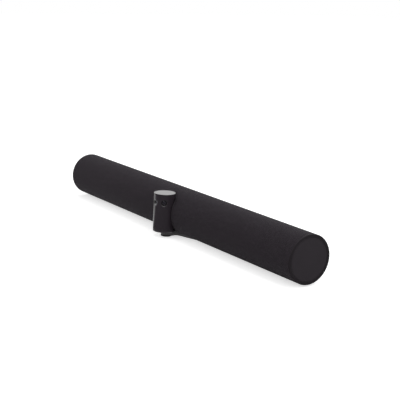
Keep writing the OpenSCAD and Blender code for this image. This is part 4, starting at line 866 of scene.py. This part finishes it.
def fasteners():
    """Screws in the places of the CAD's. Those of the housing that start above the foot's
    underside are driven down, and all others up."""
    head_h, above_underside = 1.6, -38.6
    tree = screw_tree()
    for node, name in (("base_screws", "rail_fasteners"),
                       ("housing_screws", "housing_fasteners"), ("pod_screws", "pod_fasteners")):
        screws = []
        for low, high in loose_solids(node):
            x, y, _ = (low + high) / 2
            down = node == "housing_screws" and low[2] > above_underside
            z = high[2] - head_h / 2 if down else low[2] + head_h / 2
            screws.append(grown(name, tree, {
                "Head radius": 2.6 * MM, "Head height": head_h * MM, "Shank radius": 1.45 * MM,
                "Shank length": float(high[2] - low[2] - head_h) * MM,
                "Turn": (math.pi if down else 0.0, 0.0, 0.4), "Material": STEEL},
                raw_mesh(name, [placed(x, y, z)], [])))
        finished(name, merged(name, screws), STEEL, "bar", (node,), 30)


def contact_tree():
    """A row of flat contacts, evenly spaced."""
    tree, given = new_tree("contact_row", {
        "Count": "Int", "Start": "Vector", "Step": "Vector", "Size": "Vector",
        "Material": "Material"})
    row = add_node(tree, "GeometryNodeMeshLine", {
        "Count": given["Count"], "Start Location": given["Start"], "Offset": given["Step"]})
    contact = add_node(tree, "GeometryNodeMeshCube", {"Size": given["Size"]})
    spread = add_node(tree, "GeometryNodeInstanceOnPoints", {
        "Points": row, "Instance": contact})
    return ending(tree, spread, given["Material"])


# How many contacts a row has, where the first one is from the middle of the lower edge of the
# socket's mouth, how far apart they are along the bar, and their size.
CONTACT_ROWS = (
    ("network_jack", 8, (-3.57, -6.5, 10.75), 1.02, (0.45, 8, 0.3)),
    ("serial_sockets", 4, (-3.5, -5.2, 3.9), 2.333, (1.1, 7.4, 0.25)),
    ("video_socket", 10, (-4.5, -5.2, 3.6), 1.0, (0.42, 7.4, 0.18)),
    ("video_socket", 9, (-4.0, -5.2, 2.0), 1.0, (0.42, 7.4, 0.18)),
    ("reversible_socket", 12, (-2.75, -3.6, 2.12), 0.5, (0.24, 4.6, 0.1)),
)


def contacts():
    tree, rows = contact_tree(), []
    for node, count, (x, y, z), step, size in CONTACT_ROWS:
        for low, high in loose_solids(node):
            start = ((low[0] + high[0]) / 2 + x, high[1] + y, low[2] + z)
            rows.append(grown("contacts", tree, {
                "Count": count, "Start": tuple(placed(*map(float, start))),
                "Step": (step * MM, 0.0, 0.0), "Size": tuple(s * MM for s in size),
                "Material": CONTACT}))
    finished("socket_contacts", merged("socket_contacts", rows), CONTACT, "bar", (),
             30)


def keys():
    """The two buttons in the bay: turned caps with a dished face, and a flange that stops
    them behind the panel."""
    panel = (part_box("port_panel")[0].y - AXIS.y) / MM
    back, stop = panel - 0.9, panel - 0.1
    for node, body, name, r, rounding in (
            ("pairing_button", "pairing_key", "pairing_cap", 2.4, 0.3),
            ("reset_button", "reset_key", "reset_pin", 1.2, 0.2)):
        low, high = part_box(node)
        y0, y1 = (low.y - AXIS.y) / MM, (high.y - AXIS.y) / MM
        z = ((low.z + high.z) / 2 - AXIS.z) / MM
        flange = (high.x - low.x) / 2 / MM
        profile = eased([(0, y0, 0), (r, y0, 0.2), (r, back, 0), (flange, back, 0.1),
                         (flange, stop, 0.1), (r, stop, 0), (r, y1, rounding),
                         (r * 0.55, y1 - 0.12, 0), (0, y1 - 0.2, 0)], 3)
        mesh = joined(name, [turned(profile, at(in_plan(node)[0], 0, z, "y"), 48)])
        finished(name, mesh, KEY, body, (node,))


# What keeps its CAD form, with its own finish, and what has its edges broken as well, by so
# many millimetres

KEPT = {
    "perforated_tube": TUBE, "pod_saddle": SADDLE, "camera_bracket": ALLOY,
    "sensor_boards": BOARD, "pod_ribbon": FILM, "io_board": BOARD, "io_ribbon": FILM,
    "button_switches": CHIP, "woofer_frames": BASKET, "woofer_magnets": MAGNET,
    "woofer_cone_left": PAPER, "woofer_cone_right": PAPER, "tweeter_bodies": MAGNET,
    "tweeter_dome_left": PAPER, "tweeter_dome_right": PAPER, "speaker_box_left": BOX,
    "speaker_box_right": BOX, "baffles": BOX, "chassis_rail": ALLOY, "main_board": BOARD,
    "board_chips": CHIP, "heat_sink": ALLOY, "antennas": BOARD, "microphone_boards": BOARD,
    "microphone_gaskets": FOAM,
}
EASED = {
    "base_casting": (0.45, CAST, "cast_black"),
    "rear_housing": (0.35, HOUSING, "housing_black"),
    "port_panel": (0.15, PANEL, "steel"),
    "mount_plate": (0.25, STEEL, "steel"),
    "lock_plate": (0.2, STEEL, "steel"),
    "power_jack": (0.2, KEY, "button_black"),
    "network_jack": (0.12, NICKEL, "socket_metal"),
    "video_socket": (0.06, NICKEL, "socket_metal"),
    "serial_sockets": (0.06, NICKEL, "socket_metal"),
    "reversible_socket": (0.06, NICKEL, "socket_metal"),
}


def carried_over():
    for node, material in KEPT.items():
        mesh = nodes[node].data
        mesh.materials.clear()
        mesh.materials.append(material)
    for node, (width, material, slot) in EASED.items():
        softened(node, width, material)


# The woofers' suspensions

def sector(node, centre, middle, half):
    """A wedge of a copy of a CAD node, closed again: so far each way of a middle turn."""
    bm = bmesh.new()
    bm.from_mesh(nodes[node].data)
    bmesh.ops.remove_doubles(bm, verts=bm.verts, dist=CAD_MERGE)
    for turn, sign in ((middle - half, -1), (middle + half, 1)):
        normal = Vector((-math.sin(turn), 0, math.cos(turn))) * sign
        cut = bmesh.ops.bisect_plane(
            bm, geom=bm.verts[:] + bm.edges[:] + bm.faces[:], dist=1e-8,
            plane_co=centre, plane_no=normal, clear_outer=True)
        edges = [e for e in cut["geom_cut"] if isinstance(e, bmesh.types.BMEdge)]
        bmesh.ops.holes_fill(bm, edges=edges, sides=0)
    bmesh.ops.triangulate(bm, faces=bm.faces)
    return bm


def suspensions():
    """The rubber surround and the spider of each woofer, which the basket holds and the cone
    moves, cut into sectors. The sectors are turned a little off the CAD mesh's own lines."""
    sectors, offset, between = 16, 0.117, 16.5
    held_and_moved = {"surround": (22.1, 19.0), "spider": (13.4, 8.2)}
    for word in ("left", "right"):
        node = f"woofer_suspension_{word}"
        low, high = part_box(node)
        centre = (low + high) / 2
        for k in range(sectors):
            middle = 2 * math.pi * (k + offset) / sectors
            wedge = sector(node, centre, middle, math.pi / sectors)
            for part, (held, moved) in held_and_moved.items():
                split = wedge.copy()
                other = [v for v in split.verts if (math.hypot(
                    v.co.x - centre.x, v.co.z - centre.z) > between * MM) != (part == "surround")]
                bmesh.ops.delete(split, geom=other, context="VERTS")
                mesh = bpy.data.meshes.new(f"{part}_{word}_{k:02d}")
                split.to_mesh(mesh)
                split.free()
                piece = finished(mesh.name, mesh, SURROUND, None, (node,), 40,
                                 even=False)
                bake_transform(piece)
            wedge.free()


# Floor, light and camera

def room_in_gloss(tree, direction, bright, near, far):
    """How bright the studio looks in a gloss: white all round but for its unlit side, at the
    front right."""
    unlit_side, unlit = (0.82, -0.57, 0.0), 0.1
    toward = add_node(tree, "ShaderNodeVectorMath", {0: direction, 1: unlit_side},
                      operation="DOT_PRODUCT")
    sweep = add_node(tree, "ShaderNodeMapRange", {
        "Value": toward.outputs["Value"], "From Min": near, "From Max": far, "To Min": bright,
        "To Max": unlit}, clamp=True)
    return Value(tree, sweep.outputs[0])


def pale_floor():
    """White to the camera, and pale under the light. In a gloss it shows a painted reflection
    instead: a glow, dimmed toward the studio's unlit side as the studio is, with a painted pale
    patch under the pod."""
    pale, lift, under_pod = 0.9, 0.62, (0.0, -0.045, 0.0)
    material = bpy.data.materials.new("white_floor")
    material.use_nodes = True
    tree = material.node_tree
    tree.nodes.clear()
    ray = add_node(tree, "ShaderNodeLightPath")
    seen = Value(tree, ray.outputs["Is Camera Ray"])
    paint = add_node(tree, "ShaderNodeBsdfDiffuse", {"Color": (0.8, 0.8, 0.8, 1)})
    glow = add_node(tree, "ShaderNodeEmission", {"Color": (1, 1, 1, 1), "Strength": seen * lift})
    lit = add_node(tree, "ShaderNodeAddShader", {0: paint, 1: glow})
    place = add_node(tree, "ShaderNodeTexCoord").outputs["Object"]
    away = add_node(tree, "ShaderNodeVectorMath", {0: place, 1: under_pod},
                    operation="DISTANCE")
    # Painted glow round the foot, seen only in reflections: it paints a highlight on the foot's
    # neck.
    painted_glow_under_pod = add_node(tree, "ShaderNodeMapRange", {
        "Value": away.outputs["Value"], "From Min": 0.045, "From Max": 0.065, "To Min": pale,
        "To Max": 0.0}, clamp=True)
    # The glow dims toward the studio's unlit side: painted shade in the floor's reflection.
    strength = room_in_gloss(tree, place, pale, -0.06, -0.01).most(Value(tree, painted_glow_under_pod.outputs[0]))
    painted_floor_reflection = add_node(tree, "ShaderNodeEmission", {
        "Color": (1, 1, 1, 1), "Strength": strength})
    mix = add_node(tree, "ShaderNodeMixShader", {
        0: ray.outputs["Is Glossy Ray"], 1: lit, 2: painted_floor_reflection})
    add_node(tree, "ShaderNodeOutputMaterial", {"Surface": mix})
    return material


def studio():
    reach = 6
    corners = [(-reach, -reach, 0), (reach, -reach, 0), (reach, reach, 0), (-reach, reach, 0)]
    floor = link(bpy.data.objects.new("floor", raw_mesh("floor", corners, [(0, 1, 2, 3)])))
    floor.data.materials.append(pale_floor())

    # The world is white to the camera, and an even soft light to all that isn't glossy.
    soft_light = 0.56
    world = bpy.data.worlds.new("studio")
    scene.world = world
    world.use_nodes = True
    tree = world.node_tree
    tree.nodes.clear()
    ray = add_node(tree, "ShaderNodeLightPath")
    seen = Value(tree, ray.outputs["Is Camera Ray"])
    glossy = Value(tree, ray.outputs["Is Glossy Ray"]).most(
        Value(tree, ray.outputs["Is Transmission Ray"]))
    direction = add_node(tree, "ShaderNodeTexCoord").outputs["Generated"]
    gloss = room_in_gloss(tree, direction, 1.0, -0.1, 0.6)
    strength = seen + (1.0 - seen) * (glossy * gloss + (1.0 - glossy) * soft_light)
    shell = add_node(tree, "ShaderNodeBackground", {"Color": (1, 1, 1, 1), "Strength": strength})
    add_node(tree, "ShaderNodeOutputWorld", {"Surface": shell})

    # Round softboxes: where, how wide in metres, how many watts
    for name, spot, width, power in (
            ("top_softbox", (0.1, 0.25, 1.5), 1.6, 7.5),
            ("front_softbox", (-0.9, -1.5, 1.1), 1.3, 7.5),
            ("side_softbox", (1.7, -0.2, 0.8), 1.2, 7.5),
            ("rear_softbox", (0.3, 1.7, 1.0), 1.4, 5.0)):
        lamp = bpy.data.lights.new(name, "AREA")
        lamp.shape, lamp.size, lamp.energy = "DISK", width, power
        obj = link(bpy.data.objects.new(name, lamp))
        obj.location = spot
        aim = Vector((0, 0, 0.04)) - Vector(spot)
        obj.rotation_euler = aim.to_track_quat("-Z", "Y").to_euler()
        obj.visible_glossy = name == "top_softbox"
    scene.view_settings.view_transform = "Standard"


def photo_camera():
    """The photograph's viewpoint: from the right and 13 degrees above, a long lens."""
    yaw, pitch, roll = (math.radians(a) for a in (55.0836, 13.0585, 2.39986))
    target, distance = Vector((0.047948, AXIS.y, 0.02745 + AXIS.z)), 1.660947
    away = Vector((math.sin(yaw) * math.cos(pitch), -math.cos(yaw) * math.cos(pitch),
                   math.sin(pitch)))
    right = (-away).cross(Vector((0, 0, 1))).normalized()
    up = right.cross(-away)
    tilted_right = right * math.cos(roll) + up * math.sin(roll)
    tilted_up = up * math.cos(roll) - right * math.sin(roll)
    cam = bpy.data.cameras.new("photo_view")
    cam.sensor_width, cam.lens = 36, 91.96
    cam.clip_start, cam.clip_end = 0.05, 50
    obj = link(bpy.data.objects.new("photo_view", cam))
    turn = Matrix((tilted_right, tilted_up, away)).transposed().to_4x4()
    obj.matrix_world = Matrix.Translation(target + away * distance) @ turn
    scene.camera = obj


photo_camera()
studio()
knitted_cover()
bar_ends()
pod_shell()
pod_caps()
lenses()
feet()
threaded_insert()
carried_over()
suspensions()
fasteners()
contacts()
keys()
